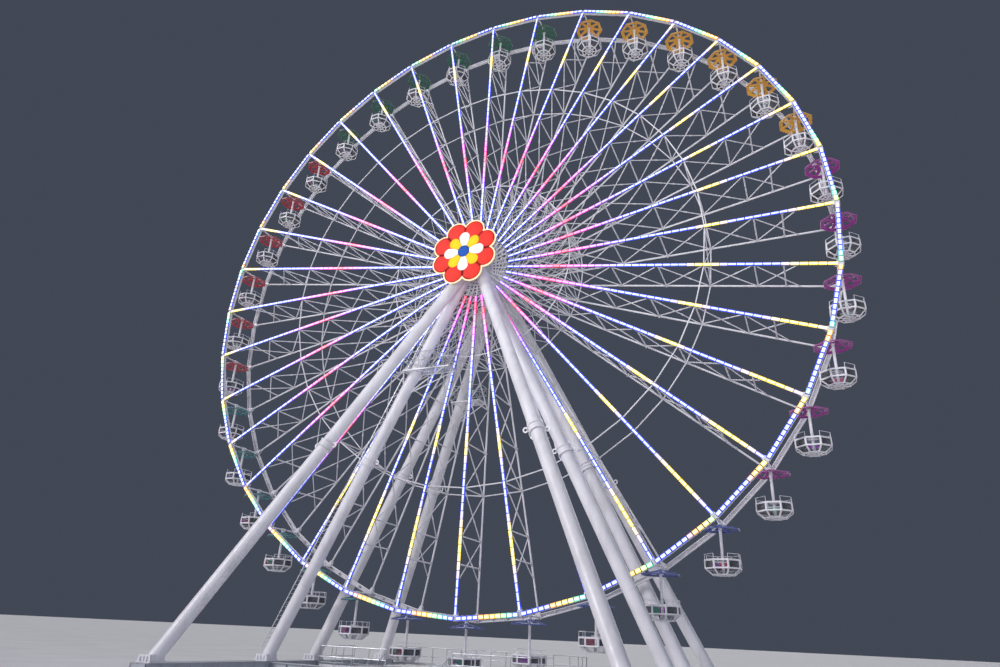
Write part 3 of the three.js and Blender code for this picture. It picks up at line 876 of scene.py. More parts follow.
def axle():
    shape = Shape()
    cap = AXLE_REAR + CAP_THICKNESS
    profile = [
        (AXLE_RADIUS - 0.03, -AXLE_FRONT), (AXLE_RADIUS, 0.03 - AXLE_FRONT), (AXLE_RADIUS, AXLE_REAR),
        (CAP_RADIUS - 0.02, AXLE_REAR), (CAP_RADIUS, AXLE_REAR + 0.02), (CAP_RADIUS, cap - 0.02),
        (CAP_RADIUS - 0.02, cap), (0.30, cap), (0.28, cap - 0.02),
    ]
    shape.add(turned(profile, 64), place=ON_THE_AXLE)
    bolt_ring(shape, 16, 0.52, cap - 0.03, 1, 0.032, 0.029)
    piece("axle_steel", shape, [WHITE_STEEL], "support", ["axle"])


def trestle_head(name, side):
    """The housing round the axle, with end rings, ribs along it and bolts."""
    shape = Shape()
    near, far, r = HEAD_NEAR, HEAD_FAR, HEAD_RADIUS
    outline = [
        (AXLE_RADIUS, near), (r - 0.04, near), (r, near + 0.03), (r, near + 0.16), (r - 0.07, near + 0.20),
        (r - 0.07, far - 0.20), (r, far - 0.16), (r, far - 0.03), (r - 0.04, far), (AXLE_RADIUS, far),
    ]
    shape.add(turned([(radius, side * y) for radius, y in outline], 72, ring=True), place=ON_THE_AXLE)
    rib = block((r - 0.09, side * (near + 0.15), -0.014), (r - 0.005, side * (far - 0.15), 0.014))
    for index in range(HEAD_RIBS):
        shape.add(rib, place=round_hub(index + 0.5, HEAD_RIBS))
    bolt_ring(shape, 24, 0.57, side * far, side, 0.025, 0.03)
    bolt_ring(shape, 16, 0.43, side * far, side, 0.020, 0.025)
    bolt_ring(shape, 24, 0.57, side * near, -side, 0.022, 0.025)
    piece(name + "_steel", shape, [WHITE_STEEL], "support", [name])


def turned_flat(points, angle):
    """Flat points turned about the centre."""
    points = np.asarray(points, float)
    return points @ np.array([(cos(angle), sin(angle)), (-sin(angle), cos(angle))])


def petal_arc(radius, turns):
    """The round end of a petal along X."""
    return np.column_stack([PETAL_CIRCLE + radius * np.cos(turns), radius * np.sin(turns)])


def flower_outline(radius, segments=14):
    """The scalloped outline of eight round petals."""
    half = pi / PETALS
    reach = PETAL_CIRCLE * cos(half) + sqrt(radius ** 2 - (PETAL_CIRCLE * sin(half)) ** 2)
    sweep = atan2(reach * sin(half), reach * cos(half) - PETAL_CIRCLE)
    petal = petal_arc(radius, np.arange(segments) * 2 * sweep / segments - sweep)
    return np.concatenate([turned_flat(petal, (2 * index + 1) * half) for index in range(PETALS)])


def in_front(points, y):
    """Flat points stood up facing the front, at a depth, about the hub."""
    points = np.asarray(points, float)
    return np.column_stack([points[:, 0], np.full(len(points), y), points[:, 1] + AXLE_HEIGHT])


def petal_outline(inner, outer, width, steps=24):
    """A drop-shaped petal along X, narrow towards the centre."""
    points = []
    middle = outer - width / 2
    for out, side in circle(1, steps) * (-1, 1):
        if out >= 0:
            points.append((middle + out * width / 2, side * width / 2))
        else:
            points.append((middle + out * (middle - inner), side * width / 2 * (1 + 0.38 * out)))
    return points


def lobe_outline(radius, gap=0.02, inner=0.36, segments=20):
    """One round petal along X, with straight sides down to the centre, a little in from its neighbours'."""
    half = pi / PETALS
    sweep = half + asin((PETAL_CIRCLE * sin(half) - gap) / radius)
    side = inner * tan(half) - gap
    arc = petal_arc(radius, np.linspace(-sweep, sweep, segments + 1))
    return np.concatenate([[(inner, side), (inner, -side)], arc])


def petals(colour, look, outline, count, start, middle_radius, y, height):
    """Swelling petals on a flat face that looks to the front, all of one outline turned about the centre."""
    shape = Shape()
    for index in range(count):
        angle = (index + start) * 2 * pi / count
        centre = in_front(turned_flat([(middle_radius, 0)], angle), y)
        # how far in each point is sets its painted shade, darker towards the petal's outline
        solid, depths = cushion(in_front(turned_flat(outline, angle), y), centre, (0, -height, 0))
        shape.add(solid, phase=depths)
    piece("flower_petals_" + colour, shape, [look], "support")


def flower_sign():
    """A plain flower: eight red petals, four white and four yellow ones on them, and a bare blue centre."""
    back = -AXLE_FRONT
    front = back - FLOWER_THICKNESS + 0.10
    box = Shape()
    outline = flower_outline(PETAL_RADIUS - TUBE_RADIUS)
    face = in_front(outline, front)
    # the box's faces have phase 0 and take their looks' painted-shade edge colour: greyed white sides, and a
    # dark red face that shows as shade in the gaps between the red petals
    box.add(lofted([in_front(outline, back), face]))
    box.add(plate(face, (0, -0.004, 0)), 2)
    box.add(tube(face, TUBE_RADIUS, closed=True, normal=(0, 1, 0)), 1, phase=0.6)
    spine = block((0.30, back, -0.03), (2.0, back + 0.03, 0.03))
    for index in range(PETALS):
        box.add(spine, place=round_hub(index, PETALS))
    looks = [FLOWER_WHITE, FLOWER_TUBE, FLOWER_RED]
    piece("flower_box", box, looks, "support", ["flower_sign"])
    lobe = lobe_outline(PETAL_RADIUS - 1.6 * TUBE_RADIUS)
    petals("red", FLOWER_RED, lobe, PETALS, 0.5, 1.72, front - 0.004, 0.055)
    petals("yellow", FLOWER_YELLOW, petal_outline(0.25, 1.50, 0.88), 4, 0.5, 1.02, front - 0.048, 0.030)
    petals("white", FLOWER_WHITE, petal_outline(0.25, 1.56, 0.84), 4, 0, 1.05, front - 0.060, 0.030)
    centre = Shape()
    ring = in_front(circle(CENTRE_RADIUS, 40), front - 0.085)
    solid, depths = cushion(ring, (0, front - 0.085, AXLE_HEIGHT), (0, -0.014, 0))
    centre.add(plate(ring, (0, 0.04, 0)))
    centre.add(solid, phase=depths)
    piece("flower_centre", centre, [FLOWER_BLUE], "support")


# Legs and platforms

def leg_line(side_x, side_y, kind):
    top = np.array((side_x * LEG_TOP_X, side_y * LEG_TOP_Y, AXLE_HEIGHT))
    foot = np.array((side_x * LEG_FOOT_X, side_y * LEG_FOOT_Y[kind], BASE_HEIGHT))
    return top, foot


def down(line, drop):
    """The point on a leg's line at a height below its top."""
    top, foot = line
    return top + (foot - top) * drop / (top[2] - foot[2])


def ring_about(centre, along, radius, sides=32):
    return ring_on(centre, axes_along(along, (0, 1, 0)), radius, sides)


def sleeve(start, end, along, radius):
    return lofted([ring_about(start, along, radius), ring_about(end, along, radius)])


def leg(side_x, side_y, kind):
    """One leg: two tubes with a bolted collar, welded seams and a shoe with gussets."""
    shape = Shape()
    top, foot = leg_line(side_x, side_y, kind)
    along, length = unit(top - foot), np.linalg.norm(top - foot)
    # the bottom of the tube is cut level with the top of the base frame
    level = ring_about(foot, along, LEG_RADIUS)
    level += along * ((BASE_HEIGHT - level[:, 2]) / along[2])[:, None]
    # the top end is hidden in the housing round the axle
    shape.add(lofted([level, ring_about(top - along * 0.25, along, LEG_RADIUS)]))
    leg_collar(shape, top - along * length * JOINT_SHARE, along)
    if kind == "outer":
        shape.add(leg_seam(top, along, leg_line(side_x, side_y, "inner")))
    for share in SEAM_SHARES:
        seam = top - along * length * share
        shape.add(sleeve(seam, seam + along * 0.05, along, LEG_RADIUS + 0.006))
    leg_shoe(shape, foot[0], foot[1])
    where = f"{'front' if side_y < 0 else 'rear'}_{'left' if side_x < 0 else 'right'}_{kind}"
    piece("leg_steel_" + where, shape, [WHITE_STEEL], "support", ["leg_" + where])


def leg_seam(top, along, other):
    """The weld where the outer leg's tube meets the inner one's, from the housing down to where they part."""
    other_along = unit(other[0] - other[1])
    downward = -unit(along + other_along)
    across = unit(np.cross(along, other_along))
    reach = LEG_RADIUS / sin(acos(np.dot(along, other_along)) / 2)
    turns = np.linspace(-1.25, 1.25, 33)
    path = [top + downward * reach * cos(turn) + across * LEG_RADIUS * sin(turn) for turn in turns]
    return tube(path, 0.022, 6, normal=unit(along - other_along))


def leg_collar(shape, joint, along):
    """A bolted joint of two tubes: a band between two rings, with tapered fins and an eye on either side."""
    half = COLLAR_LENGTH / 2
    first, second = axes_along(along, (0, 1, 0))
    shape.add(sleeve(joint - along * half, joint + along * half, along, BAND_RADIUS))
    for direction in (-1, 1):
        near, far = (joint + along * direction * at for at in (half - 0.045, half))
        shape.add(sleeve(near, far, along, COLLAR_RADIUS))
        for spot in ring_about(far, along, BAND_RADIUS, 20):
            bolt(shape, spot, along * direction, 0.020, 0.035)
        reach = 0.80 if direction > 0 else 0.55
        fin = (
            (0.38, half), (COLLAR_RADIUS, half), (COLLAR_RADIUS, half + 0.10), (0.405, reach), (0.38, reach),
        )
        for side in (-1, 1):
            points = [joint + first * side * out + along * direction * at - second * 0.015 for out, at in fin]
            shape.add(plate(points, second * 0.03))
    level, back, up = np.eye(3)
    web = ((0.38, -0.12), (0.38, 0.12), (0.53, 0.10), (0.53, -0.10))
    for side in (-1, 1):
        shape.add(eye(joint + level * side * 0.65, 0.17, 0.085, 0.05))
        points = [joint + level * side * out + up * at - back * 0.025 for out, at in web]
        shape.add(plate(points, back * 0.05))


def eye(centre, outer, inner, thickness):
    """A flat ring that stands up and looks to the front."""
    level, back, up = np.eye(3)
    loops = []
    for radius, depth in ((outer, 1), (outer, -1), (inner, -1), (inner, 1)):
        loops.append(ring_on(centre + back * depth * thickness / 2, (level, up), radius, 20))
    return lofted(loops, ring=True)


def leg_shoe(shape, x, y):
    """Base plate, side plates and gussets welded round the foot of a leg."""
    half = SHOE_SIZE / 2
    low, floor, high = BASE_HEIGHT, BASE_HEIGHT + 0.06, BASE_HEIGHT + SHOE_HEIGHT
    shape.add(block((x - half, y - half, low), (x + half, y + half, floor), 0.04))
    for side in (-1, 1):
        near = min(side * (half - 0.10), side * (half - 0.06))
        flat = ((0.05 - half, floor), (half - 0.05, floor), (half - 0.15, high), (0.15 - half, high))
        shape.add(plate([(x + at, y + near, z) for at, z in flat], (0, 0.04, 0)))
        flat = ((0.11 - half, floor), (half - 0.11, floor), (half - 0.13, high), (0.13 - half, high))
        shape.add(plate([(x + near, y + at, z) for at, z in flat], (0.04, 0, 0)))
        for middle in (x - 0.25, x, x + 0.25):
            gusset = (middle - 0.015, y + side * (half - 0.06), floor)
            shape.add(block(gusset, (middle + 0.015, y + side * half, high - 0.08)))
    lid = (x - half + 0.12, y - half + 0.12, high - 0.05)
    shape.add(block(lid, (x + half - 0.12, y + half - 0.12, high), 0.05))
    for sx, sy in product((-1, 1), (-1, 1)):
        for out in (half - 0.05, 0.18):
            bolt(shape, (x + sx * out, y + sy * (half - 0.05), floor), (0, 0, 1), 0.028, 0.045)


def railing(shape, path, level, height=1.1, spacing=1.1, kind=0, crossed=False):
    """Posts with a top and a middle rail along a path at a level, over a toe board or with crossed braces."""
    path = [np.array((x, y, level)) for x, y in path]
    up = np.array((0, 0, 1.0))
    for start, end in zip(path, path[1:]):
        posts = max(1, round(np.linalg.norm(end - start) / spacing))
        feet = np.linspace(start, end, posts + 1)
        for foot in feet:
            shape.add(rod(foot, foot + up * height, 0.024), kind)
        for at in (up * height * 0.5, up * height):
            shape.add(rod(start + at, end + at, 0.024), kind)
        if not crossed:
            shape.add(bar(start + up * 0.09, end + up * 0.09, oblong(0.012, 0.14)), kind)
            continue
        for near, far in zip(feet, feet[1:]):
            shape.add(rod(near, far + up * height, 0.018, 6), kind)
            shape.add(rod(near + up * height, far, 0.018, 6), kind)


def service_platform(side_y, kind):
    """A grating platform with rails round a leg, on struts from the leg."""
    shape = Shape()
    line = leg_line(-1, side_y, kind)
    centre, under = down(line, SERVICE_DROP), down(line, SERVICE_DROP + SERVICE_STRUT_DROP)
    where = "front" if side_y < 0 else "rear"
    x0, x1 = centre[0] - SERVICE_LEFT, centre[0] + SERVICE_RIGHT[where]
    y0, y1 = sorted((centre[1] - side_y * SERVICE_INNER, centre[1] + side_y * SERVICE_OUTER))
    low, high = centre[2] - SERVICE_THICKNESS / 2, centre[2] + SERVICE_THICKNESS / 2
    for y in (y0, y1 - 0.06):
        shape.add(block((x0, y, low), (x1, y + 0.06, high)))
    for x in np.linspace(x0, x1 - 0.06, 5):
        shape.add(block((x, y0 + 0.05, low), (x + 0.06, y1 - 0.05, high)))
    for x in np.arange(x0 + 0.09, x1 - 0.06, 0.07):
        shape.add(block((x, y0 + 0.06, high - 0.03), (x + 0.008, y1 - 0.06, high)), 1)
    for y in np.arange(y0 + 0.16, y1 - 0.06, 0.1):
        shape.add(block((x0 + 0.06, y, high - 0.02), (x1 - 0.06, y + 0.006, high - 0.005)), 1)
    left, right, near, far = x0 + 0.03, x1 - 0.03, y0 + 0.03, y1 - 0.03
    corners = [(left, near), (right, near), (right, far), (left, far), (left, near)]
    railing(shape, corners, high, height=1.25, spacing=1.2, kind=1, crossed=True)
    for y in (near, far):
        shape.add(rod((x1 - 0.3, y, low), under + (0.25, 0, 0), 0.045))
        shape.add(rod((x0 + 0.1, y, low), under - (0.10, 0, 0), 0.045))
    piece(f"service_platform_{where}", shape, [WHITE_STEEL, GALVANISED], "support")


def ladder(shape, start, end, hoops=False, width=0.42, pitch=0.30):
    """Two stiles with rungs along Y, climbed from the left, and a safety cage there if it has hoops."""
    along, length = unit(end - start), np.linalg.norm(end - start)
    side = unit((0, 1, 0) - along * along[1])
    out = np.cross(along, side)
    out = out if out[0] < 0 else -out
    for offset in (-side * width / 2, side * width / 2):
        shape.add(bar(start + offset, end + offset, oblong(0.06, 0.03), up=out))
    for rung in np.arange(pitch / 2, length, pitch):
        middle = start + along * rung
        shape.add(rod(middle - side * width / 2, middle + side * width / 2, 0.016, 6))
    if not hoops:
        return
    ring = [side * 0.36 * cos(turn) + out * 0.72 * sin(turn) for turn in np.linspace(0, pi, 9)]
    for at in np.arange(0.6, length, 0.9):
        shape.add(tube([start + along * at + offset for offset in ring], 0.016, 6, normal=along))
    for offset in ring[1:-1:2]:
        shape.add(bar(start + along * 0.6 + offset, end + offset, oblong(0.03, 0.008), up=out))


def ladders():
    """A ladder beside the front inner left leg up to its platform, and a caged one from there to the hub."""
    shape = Shape()
    line = leg_line(-1, -1, "inner")
    height = line[0][2] - line[1][2]
    for low, high, hoops, brackets in (
        (height * 0.975, SERVICE_DROP + 0.3, False, np.linspace(0.42, 0.95, 8)),
        (SERVICE_DROP - 0.1, 1.75, True, np.linspace(0.10, 0.27, 4)),
    ):
        ladder(shape, down(line, low) + LADDER_OFFSET, down(line, high) + LADDER_OFFSET, hoops)
        for share in brackets:
            at = down(line, height * share)
            shape.add(rod(at - (0.36, 0, 0), at + LADDER_OFFSET, 0.025, 6))
    piece("ladders", shape, [GALVANISED], "support")


# The base

def slab(shape, half, y, z, kind=0, chamfer=0.0):
    """A block across the base, as far to the left as to the right, between two depths and two heights."""
    shape.add(block((-half, y[0], z[0]), (half, y[1], z[1]), chamfer), kind)


def base_beam(name, side):
    """A box girder under the feet of one side, with stiffeners and end plates."""
    shape = Shape()
    x, half, length = side * LEG_FOOT_X, SIDE_BEAM_WIDTH / 2, SIDE_BEAM_HALF_LENGTH
    low = (x - half + 0.06, 0.03 - length, 0.06)
    shape.add(block(low, (x + half - 0.06, length - 0.03, BASE_HEIGHT - 0.05)))
    for low, high in ((0.0, 0.06), (BASE_HEIGHT - 0.05, BASE_HEIGHT)):
        shape.add(block((x - half, -length, low), (x + half, length, high), 0.02))
    plates = [(y, x + edge * (half - 0.07), x + edge * (half - 0.005))
              for y in np.linspace(0.015 - length, length - 0.015, 25) for edge in (-1, 1)]
    plates += [(end * (length - 0.015), x - half + 0.01, x + half - 0.01) for end in (-1, 1)]
    for y, near, far in plates:
        shape.add(block((near, y - 0.015, 0.05), (far, y + 0.015, BASE_HEIGHT - 0.04)))
    piece(name + "_steel", shape, [BASE_STEEL], "support", [name])


def base_tie(name, side):
    """A beam across the base, with flanges and stiffeners."""
    shape = Shape()
    y, half, top = side * LEG_FOOT_Y["inner"], CROSS_BEAM_WIDTH / 2, CROSS_BEAM_HEIGHT
    end = LEG_FOOT_X - SIDE_BEAM_WIDTH / 2
    for z in ((0.0, 0.05), (top - 0.05, top)):
        slab(shape, end, (y - half, y + half), z, 0, 0.015)
    for edge in (-0.14, 0.10):
        slab(shape, end, (y + edge, y + edge + 0.04), (0.04, top - 0.04))
    for x, edge in product(np.linspace(0.02 - end, end - 0.02, 21), (-1, 1)):
        low = (x - 0.012, y + edge * 0.13, 0.04)
        shape.add(block(low, (x + 0.012, y + edge * (half - 0.01), top - 0.04)))
    piece(name + "_steel", shape, [BASE_STEEL], "support", [name])


def deck(name, side):
    """A boarding deck of boards on bearers, with an edge trim."""
    shape = Shape()
    half, outer, bottom = DECK_HALF_LENGTH, DECK_OUTER_EDGE[name], DECK_TOP - DECK_THICKNESS
    low, high = sorted((side * DECK_INNER_EDGE, side * outer))
    edges = np.linspace(low, high, round((high - low) / BOARD_WIDTH) + 1)
    for near, far in zip(edges, edges[1:]):
        slab(shape, half - 0.03, (near + 0.006, far - 0.006), (DECK_TOP - 0.05, DECK_TOP), 0, 0.008)
    for x in (-half, half - 0.03):
        shape.add(block((x, low, bottom), (x + 0.03, high, DECK_TOP)), 1)
    for y in (low, high - 0.03):
        slab(shape, half, (y, y + 0.03), (bottom, DECK_TOP - 0.052), 1)
    for near in np.linspace(DECK_INNER_EDGE, outer - 0.16, 3 if side < 0 else 2):
        for z in ((0.0, 0.03), (bottom - 0.03, bottom)):
            slab(shape, half - 0.16, (side * near, side * (near + 0.16)), z, 1)
        middle = side * (near + 0.08)
        slab(shape, half - 0.16, (middle - 0.012, middle + 0.012), (0.02, bottom), 1)
    if side < 0:
        steps(shape, -outer)
    piece(f"deck_{name}_boards", shape, [DECK_BOARDS, BASE_STEEL], "support", [f"deck_{name}"])


def steps(shape, edge):
    """Steps up to the front deck, with side plates and ribbed treads."""
    rise, half = DECK_TOP / (STEP_COUNT + 1), STEP_HALF_WIDTH
    outline = [(edge, 0.0), (edge - STEP_COUNT * STEP_GOING, 0.0)]
    for step in range(1, STEP_COUNT + 1):
        front, top = edge - (STEP_COUNT - step + 1) * STEP_GOING, step * rise
        slab(shape, half - 0.04, (front, front + STEP_GOING + 0.02), (top - 0.05, top), 0, 0.012)
        slab(shape, half - 0.04, (front + 0.02, front + 0.05), (top - rise, top - 0.05), 1)
        outline += [(front, top), (front + STEP_GOING, top)]
    for side in (-1, 1):
        shape.add(plate([(side * half, y, z) for y, z in outline], (-side * 0.04, 0, 0)), 1)


def deck_rails(name, side):
    """The rails of a deck: round its outer side, and on the front deck also beside the steps."""
    rails = Shape()
    outer = DECK_OUTER_EDGE[name]
    x, edge, inner = DECK_HALF_LENGTH - 0.05, side * (outer - 0.05), side * (DECK_INNER_EDGE + 0.9)
    if side > 0:
        railing(rails, [(-x, inner), (-x, edge), (x, edge), (x, inner)], DECK_TOP)
    else:
        for end in (-1, 1):
            gap = end * (STEP_HALF_WIDTH + 0.05)
            railing(rails, [(gap, edge), (end * x, edge), (end * x, inner)], DECK_TOP)
            beside = end * (STEP_HALF_WIDTH - 0.05)
            hand = [(beside, -outer - 0.05, 1.5), (beside, -outer - STEP_COUNT * STEP_GOING + 0.1, 1.05)]
            rails.add(rod(*hand, 0.024))
            for point in hand:
                rails.add(rod((*point[:2], 0.14), point, 0.024))
    piece(f"deck_{name}_rails", rails, [GALVANISED], "support")


# Gondolas

def at_corner(radius, side, z):
    """A corner of a level octagon whose flats face X and Y."""
    turn = (side - 0.5) * pi / 4
    return np.array((radius * cos(turn), radius * sin(turn), z))


def octagon(radius, z):
    return [at_corner(radius, side, z) for side in range(8)]


def panel(side, first, second):
    """The corners, on one side, of the face between two level octagons that are given as (radius, height)."""
    ends = ((first, 0), (first, 1), (second, 1), (second, 0))
    return [at_corner(radius, side + end, z) for (radius, z), end in ends]


def inset(corners, margins):
    """Corners moved in from the two sides that meet at each, by the margins of the sides that start there."""
    corners = np.asarray(corners, float)
    normal = unit(np.cross(corners[1] - corners[0], corners[2] - corners[0]))
    lines = []
    for corner, following, margin in zip(corners, np.roll(corners, -1, axis=0), margins):
        along = unit(following - corner)
        lines.append((corner + np.cross(normal, along) * margin, along))
    found = []
    for index, (q, e) in enumerate(lines):
        p, d = lines[index - 1]
        sideways = np.cross(normal, e)
        found.append(p + d * (np.dot(q - p, sideways) / np.dot(d, sideways)))
    return np.array(found)


def towards_mast(corners, thickness):
    normal = unit(np.cross(corners[1] - corners[0], corners[2] - corners[0]))
    inward = -np.mean(corners, axis=0) * (1, 1, 0)
    return normal * thickness * (1 if np.dot(normal, inward) > 0 else -1)


def canopy_shape():
    """An octagonal cone of panels with a three-cornered hole in each, raised ribs, a rim and a crown."""
    shape = Shape()
    for side in range(8):
        corners = panel(side, (CANOPY_RADIUS - 0.02, CANOPY_EDGE - 0.02), (CROWN_RADIUS, CANOPY_CROWN - 0.02))
        edge, crown = corners[0], corners[3]
        middle_rim, middle_crown = (edge + corners[1]) / 2, (crown + corners[2]) / 2
        along = unit(corners[1] - edge)
        apex, base = (middle_crown + (middle_rim - middle_crown) * share for share in (0.30, 0.78))
        window = [base - along * 0.24, base + along * 0.24, apex + along * 0.04, apex - along * 0.04]
        shape.add(framed_panel(corners, window, (0, 0, -0.022), reach=0.018, steps=2))
        above, below = np.array((0, 0, 0.012)), np.array((0, 0, -0.03))
        shape.add(bar(crown + above, edge + above, oblong(0.055, 0.035, 0.008)), 1)
        shape.add(bar(crown + below, edge + below, oblong(0.035, 0.04)), 1)
    low = CANOPY_EDGE - CANOPY_RIM
    rim = ((0.0, CANOPY_EDGE), (0.0, low), (-0.03, low), (-0.03, CANOPY_EDGE))
    shape.add(lofted([octagon(CANOPY_RADIUS + radius, z) for radius, z in rim], ring=True), 1)
    profile = [
        (CROWN_RADIUS + 0.03, CANOPY_CROWN - 0.05), (CROWN_RADIUS + 0.03, CANOPY_CROWN),
        (0.13, CANOPY_CROWN + 0.03), (0.10, CANOPY_CROWN + 0.05),
    ]
    shape.add(turned(profile, 24), 1)
    return shape


def tub_panels(side):
    """The corners and the window of the upright and of the sloped panel on one side of the tub."""
    top, waist, bottom = (TUB_RADIUS, TUB_TOP), (TUB_RADIUS, TUB_WAIST), (FLOOR_RADIUS, TUB_BOTTOM)
    upright, sloped = panel(side, waist, top), panel(side, bottom, waist)
    return (
        (upright, inset(upright, (0.05, 0.06, 0.06, 0.06))),
        (sloped, inset(sloped, (0.055, 0.05, 0.05, 0.05))),
    )


def tub_shape():
    """The white tub: framed panels, a floor with a rosette, rails, the mast and the shaft."""
    shape = Shape()
    for side in range(8):
        framed = tub_panels(side)
        for corners, window in framed:
            shape.add(framed_panel(corners, window, towards_mast(corners, FRAME_DEPTH)))
        # rods along the panels' edges, a little inside the tub's corners
        for (corners, _), low in zip(framed, (1, 0.998)):
            shape.add(rod(corners[0] * (0.985, 0.985, low), corners[3] * (0.985, 0.985, 1), 0.026))
        for outside, inside, margins in (
            (FLOOR_RADIUS, ROSETTE_RADIUS, (0.05, 0.035, 0.03, 0.035)),
            (ROSETTE_RADIUS, ROSETTE_HOLE, (0.03, 0.03, 0.02, 0.03)),
        ):
            corners = panel(side, (outside, TUB_BOTTOM), (inside, TUB_BOTTOM))
            window = inset(corners, margins)
            shape.add(framed_panel(corners, window, (0, 0, FRAME_DEPTH), reach=0.02, steps=3))
    shape.add(turned([(0.125, TUB_BOTTOM), (0.125, TUB_BOTTOM + 0.04)], 24))
    for radius, z, thickness in (
        (FLOOR_RADIUS - 0.012, TUB_BOTTOM + 0.02, 0.02),
        (TUB_RADIUS - 0.03, TUB_WAIST, 0.032),
        (TUB_RADIUS - 0.025, TUB_TOP, 0.035),
    ):
        shape.add(tube(octagon(radius, z), thickness, closed=True))
    # the rail over the tub is open at the door
    rail_radius = TUB_RADIUS - 0.03
    rail = [at_corner(rail_radius, DOOR_SIDE + side, TUB_TOP + RAIL_HEIGHT) for side in range(1, 9)]
    shape.add(tube(rail, 0.014))
    for foot in octagon(rail_radius, TUB_TOP):
        shape.add(rod(foot, foot + (0, 0, RAIL_HEIGHT), 0.014))
    shape.add(turned([
        (0.12, TUB_BOTTOM + 0.03), (0.12, TUB_BOTTOM + 0.08), (MAST_RADIUS, TUB_BOTTOM + 0.14),
        (MAST_RADIUS, -2.12), (0.11, -2.10), (0.11, -2.05), (MAST_RADIUS, -2.03),
        (MAST_RADIUS, CANOPY_CROWN - 0.16), (0.12, CANOPY_CROWN - 0.10), (0.12, CANOPY_CROWN - 0.02),
        (MAST_RADIUS, CANOPY_CROWN + 0.02), (MAST_RADIUS, MAST_TOP - 0.04), (0.05, MAST_TOP),
    ], 24))
    # the hand wheel on the mast, with three spokes
    hand_wheel = [(x, y, HAND_WHEEL_LEVEL) for x, y in circle(HAND_WHEEL_RADIUS, 24)]
    shape.add(tube(hand_wheel, 0.018, closed=True))
    for x, y in circle(HAND_WHEEL_RADIUS, 3, pi / 2):
        shape.add(rod((0, 0, HAND_WHEEL_LEVEL - 0.03), (x, y, HAND_WHEEL_LEVEL), 0.015, 6))
    reach = RIM_PLANE - RIM_DEPTH / 2 - 0.002
    shape.add(rod((0, -reach, 0), (0, reach, 0), 0.055, 20))
    for side in (-1, 1):
        shape.add(rod((0, side * 0.14, 0), (0, side * 0.18, 0), 0.085, 20))
        shape.add(rod((0, side * (reach - 0.10), 0), (0, side * (reach - 0.04), 0), 0.08, 20))
        cheek = ((-0.07, 0.10, 0.085), (0.07, 0.10, 0.085), (0.07, 0.07, -0.17), (-0.07, 0.07, -0.17))
        shape.add(plate([(x, side * y, z) for x, y, z in cheek], (0, side * 0.03, 0)))
    return shape


def window_shape():
    shape = Shape()
    for side in range(8):
        for corners, window in tub_panels(side):
            shape.add(window_pane(window, towards_mast(corners, FRAME_DEPTH)))
    return shape


def seat_shape():
    """Moulded bucket seats round the tub, in two colours, on near-black shells whose colour is painted shade
    that makes the windows read dark, with a gap at the door.
    """
    shape = Shape()
    shell = np.array([
        (0.86, -2.11), (0.875, -2.11), (0.875, -2.53), (0.42, -2.53), (0.42, -2.515), (0.86, -2.515),
    ])
    seat = np.array([
        (0.40, -2.50), (0.40, -2.46), (0.44, -2.42), (0.71, -2.44), (0.76, -2.39), (0.795, -2.16),
        (0.82, -2.12), (0.85, -2.14), (0.85, -2.47), (0.80, -2.51), (0.60, -2.52), (0.50, -2.51),
    ])
    middle = seat.mean(axis=0)
    # how large the section is at each turn about the mast, in degrees
    seat_turns = ((-19.5, 0.90), (-18.5, 0.98), (-12, 1.0), (0, 0.985), (12, 1.0), (18.5, 0.98), (19.5, 0.90))
    shell_turns = ((-20.5, 1.0), (0, 1.0), (20.5, 1.0))
    for side in range(8):
        if side == DOOR_SIDE:
            continue
        for profile, turns, kind in ((seat, seat_turns, side % 2), (shell, shell_turns, 2)):
            loops = []
            for turn, share in turns:
                angle = side * pi / 4 + radians(turn)
                out, z = (middle + (profile - middle) * share).T
                out = out / cos(radians(turn))
                loops.append(np.column_stack([out * cos(angle), out * sin(angle), z]))
            shape.add(lofted(loops), kind)
    return shape


def gondolas():
    canopy, tub = canopy_shape().mesh("canopy"), tub_shape().mesh("tub")
    windows, seats = window_shape().mesh("windows"), seat_shape().mesh("seats", sharp=50)
    per_colour = SPOKES // len(CANOPY_COLOURS)
    for index in range(SPOKES):
        number = f"{index + 1:02d}"
        body = "gondola_" + number
        low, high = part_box(body)
        pivot = ((low.x + high.x) / 2, (low.y + high.y) / 2, high.z - MAST_TOP * SCALE)
        colour = CANOPY_COLOURS[index // per_colour]
        first, second = (SEAT_COLOURS[(index + step) % len(SEAT_COLOURS)] for step in (0, 1))
        place_piece("canopy_" + number, canopy, CANOPY_LOOKS[colour], body, [body], pivot)
        place_piece("tub_" + number, tub, [TUB_WHITE], body, [body], pivot)
        place_piece("windows_" + number, windows, [TUB_WINDOW], body, (), pivot)
        looks = [SEAT_LOOKS[first], SEAT_LOOKS[second], SEAT_SHADE_SHELL]
        place_piece("seats_" + number, seats, looks, body, (), pivot)


# Floor, light and camera

def floor():
    look = Look("floor")
    mesh = bpy.data.meshes.new("floor")
    mesh.from_pydata([(x, y, -0.003) for x, y in circle(400.0, 64)], [], [tuple(range(64))])
    mesh.materials.append(look.finished({
        "Base Color": look.ramp(look.noise(0.4, 5.0), ((0.3, (0.66, 0.66, 0.67)), (0.7, (0.74, 0.74, 0.75)))),
        "Roughness": 0.9,
    }))
    in_scene("floor", mesh)


def lamp(name, kind, power, direction, **settings):
    """A lamp that shines along a direction."""
    data = bpy.data.lights.new(name, kind)
    data.energy = power
    for key, value in settings.items():
        setattr(data, key, value)
    made = in_scene(name, data)
    made.rotation_euler = Vector(direction).to_track_quat("-Z", "Y").to_euler()
    return made


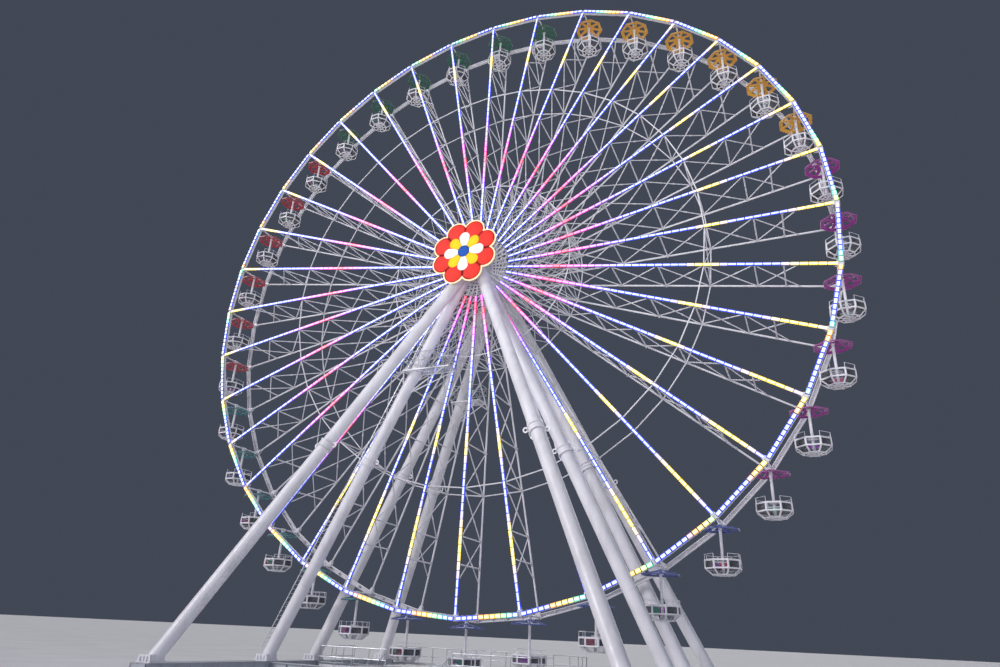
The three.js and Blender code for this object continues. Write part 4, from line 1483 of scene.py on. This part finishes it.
def studio_light():
    world = bpy.data.worlds.new("studio")
    world.use_nodes = True
    background = world.node_tree.nodes["Background"]
    background.inputs["Color"].default_value = (0.055, 0.064, 0.09, 1.0)
    background.inputs["Strength"].default_value = 1.0
    bpy.context.scene.world = world
    bpy.context.scene.view_settings.view_transform = "Standard"
    lamp("key", "SUN", 1.9, (0.55, 0.72, -0.45), angle=radians(25), color=(1.0, 0.97, 1.0))
    lamp("fill", "SUN", 0.9, (-0.75, 0.60, -0.12), angle=radians(60), color=(0.80, 0.84, 1.0))
    lamp("back", "SUN", 1.2, (0.15, -0.85, -0.50), angle=radians(60))
    # a wide soft light from the front, with a grid that keeps it off the floor
    place, target = Vector((4.0, -26.0, 3.0)), Vector((0.0, 0.0, 19.0))
    size = {"shape": "RECTANGLE", "size": 30.0, "size_y": 5.0, "spread": radians(75)}
    lamp("low", "AREA", 900, target - place, **size).location = place


def camera():
    """The camera of the photograph."""
    yaw, pitch, roll = radians(CAMERA_YAW), radians(CAMERA_PITCH), radians(CAMERA_ROLL)
    forward = Vector((-sin(yaw) * cos(pitch), cos(yaw) * cos(pitch), sin(pitch)))
    level = Vector((cos(yaw), sin(yaw), 0))
    above = level.cross(forward)
    right, up = level * cos(roll) + above * sin(roll), above * cos(roll) - level * sin(roll)
    turn = Matrix((right, up, -forward)).transposed().to_4x4()
    offset = Vector(CAMERA_OFFSET) + Vector((0, -RIM_PLANE * SCALE, 0))
    data = bpy.data.cameras.new("camera")
    data.lens, data.sensor_width, data.sensor_fit = CAMERA_LENS, 36.0, "HORIZONTAL"
    data.clip_start, data.clip_end = 0.1, 2000.0
    made = in_scene("camera", data)
    about_axle = Matrix.Rotation(radians(CAMERA_TURN), 4, "Y")
    axle_point = Matrix.Translation((0, 0, AXLE_HEIGHT * SCALE))
    made.matrix_world = axle_point @ about_axle @ Matrix.Translation(offset) @ turn
    bpy.context.scene.camera = made


wheel_side("wheel_front", -1)
wheel_side("wheel_rear", 1)
spoke_trusses()
ring_ties()
hub_drum()
spoke_lights()
rim_lights()
axle()
trestle_head("head_front", -1)
trestle_head("head_rear", 1)
flower_sign()
for side_x, side_y, kind in product((-1, 1), (-1, 1), ("inner", "outer")):
    leg(side_x, side_y, kind)
service_platform(-1, "inner")
service_platform(1, "outer")
ladders()
base_beam("base_beam_left", -1)
base_beam("base_beam_right", 1)
base_tie("base_tie_front", -1)
base_tie("base_tie_rear", 1)
for name, side in (("front", -1), ("rear", 1)):
    deck(name, side)
    deck_rails(name, side)
gondolas()
floor()
studio_light()
camera()
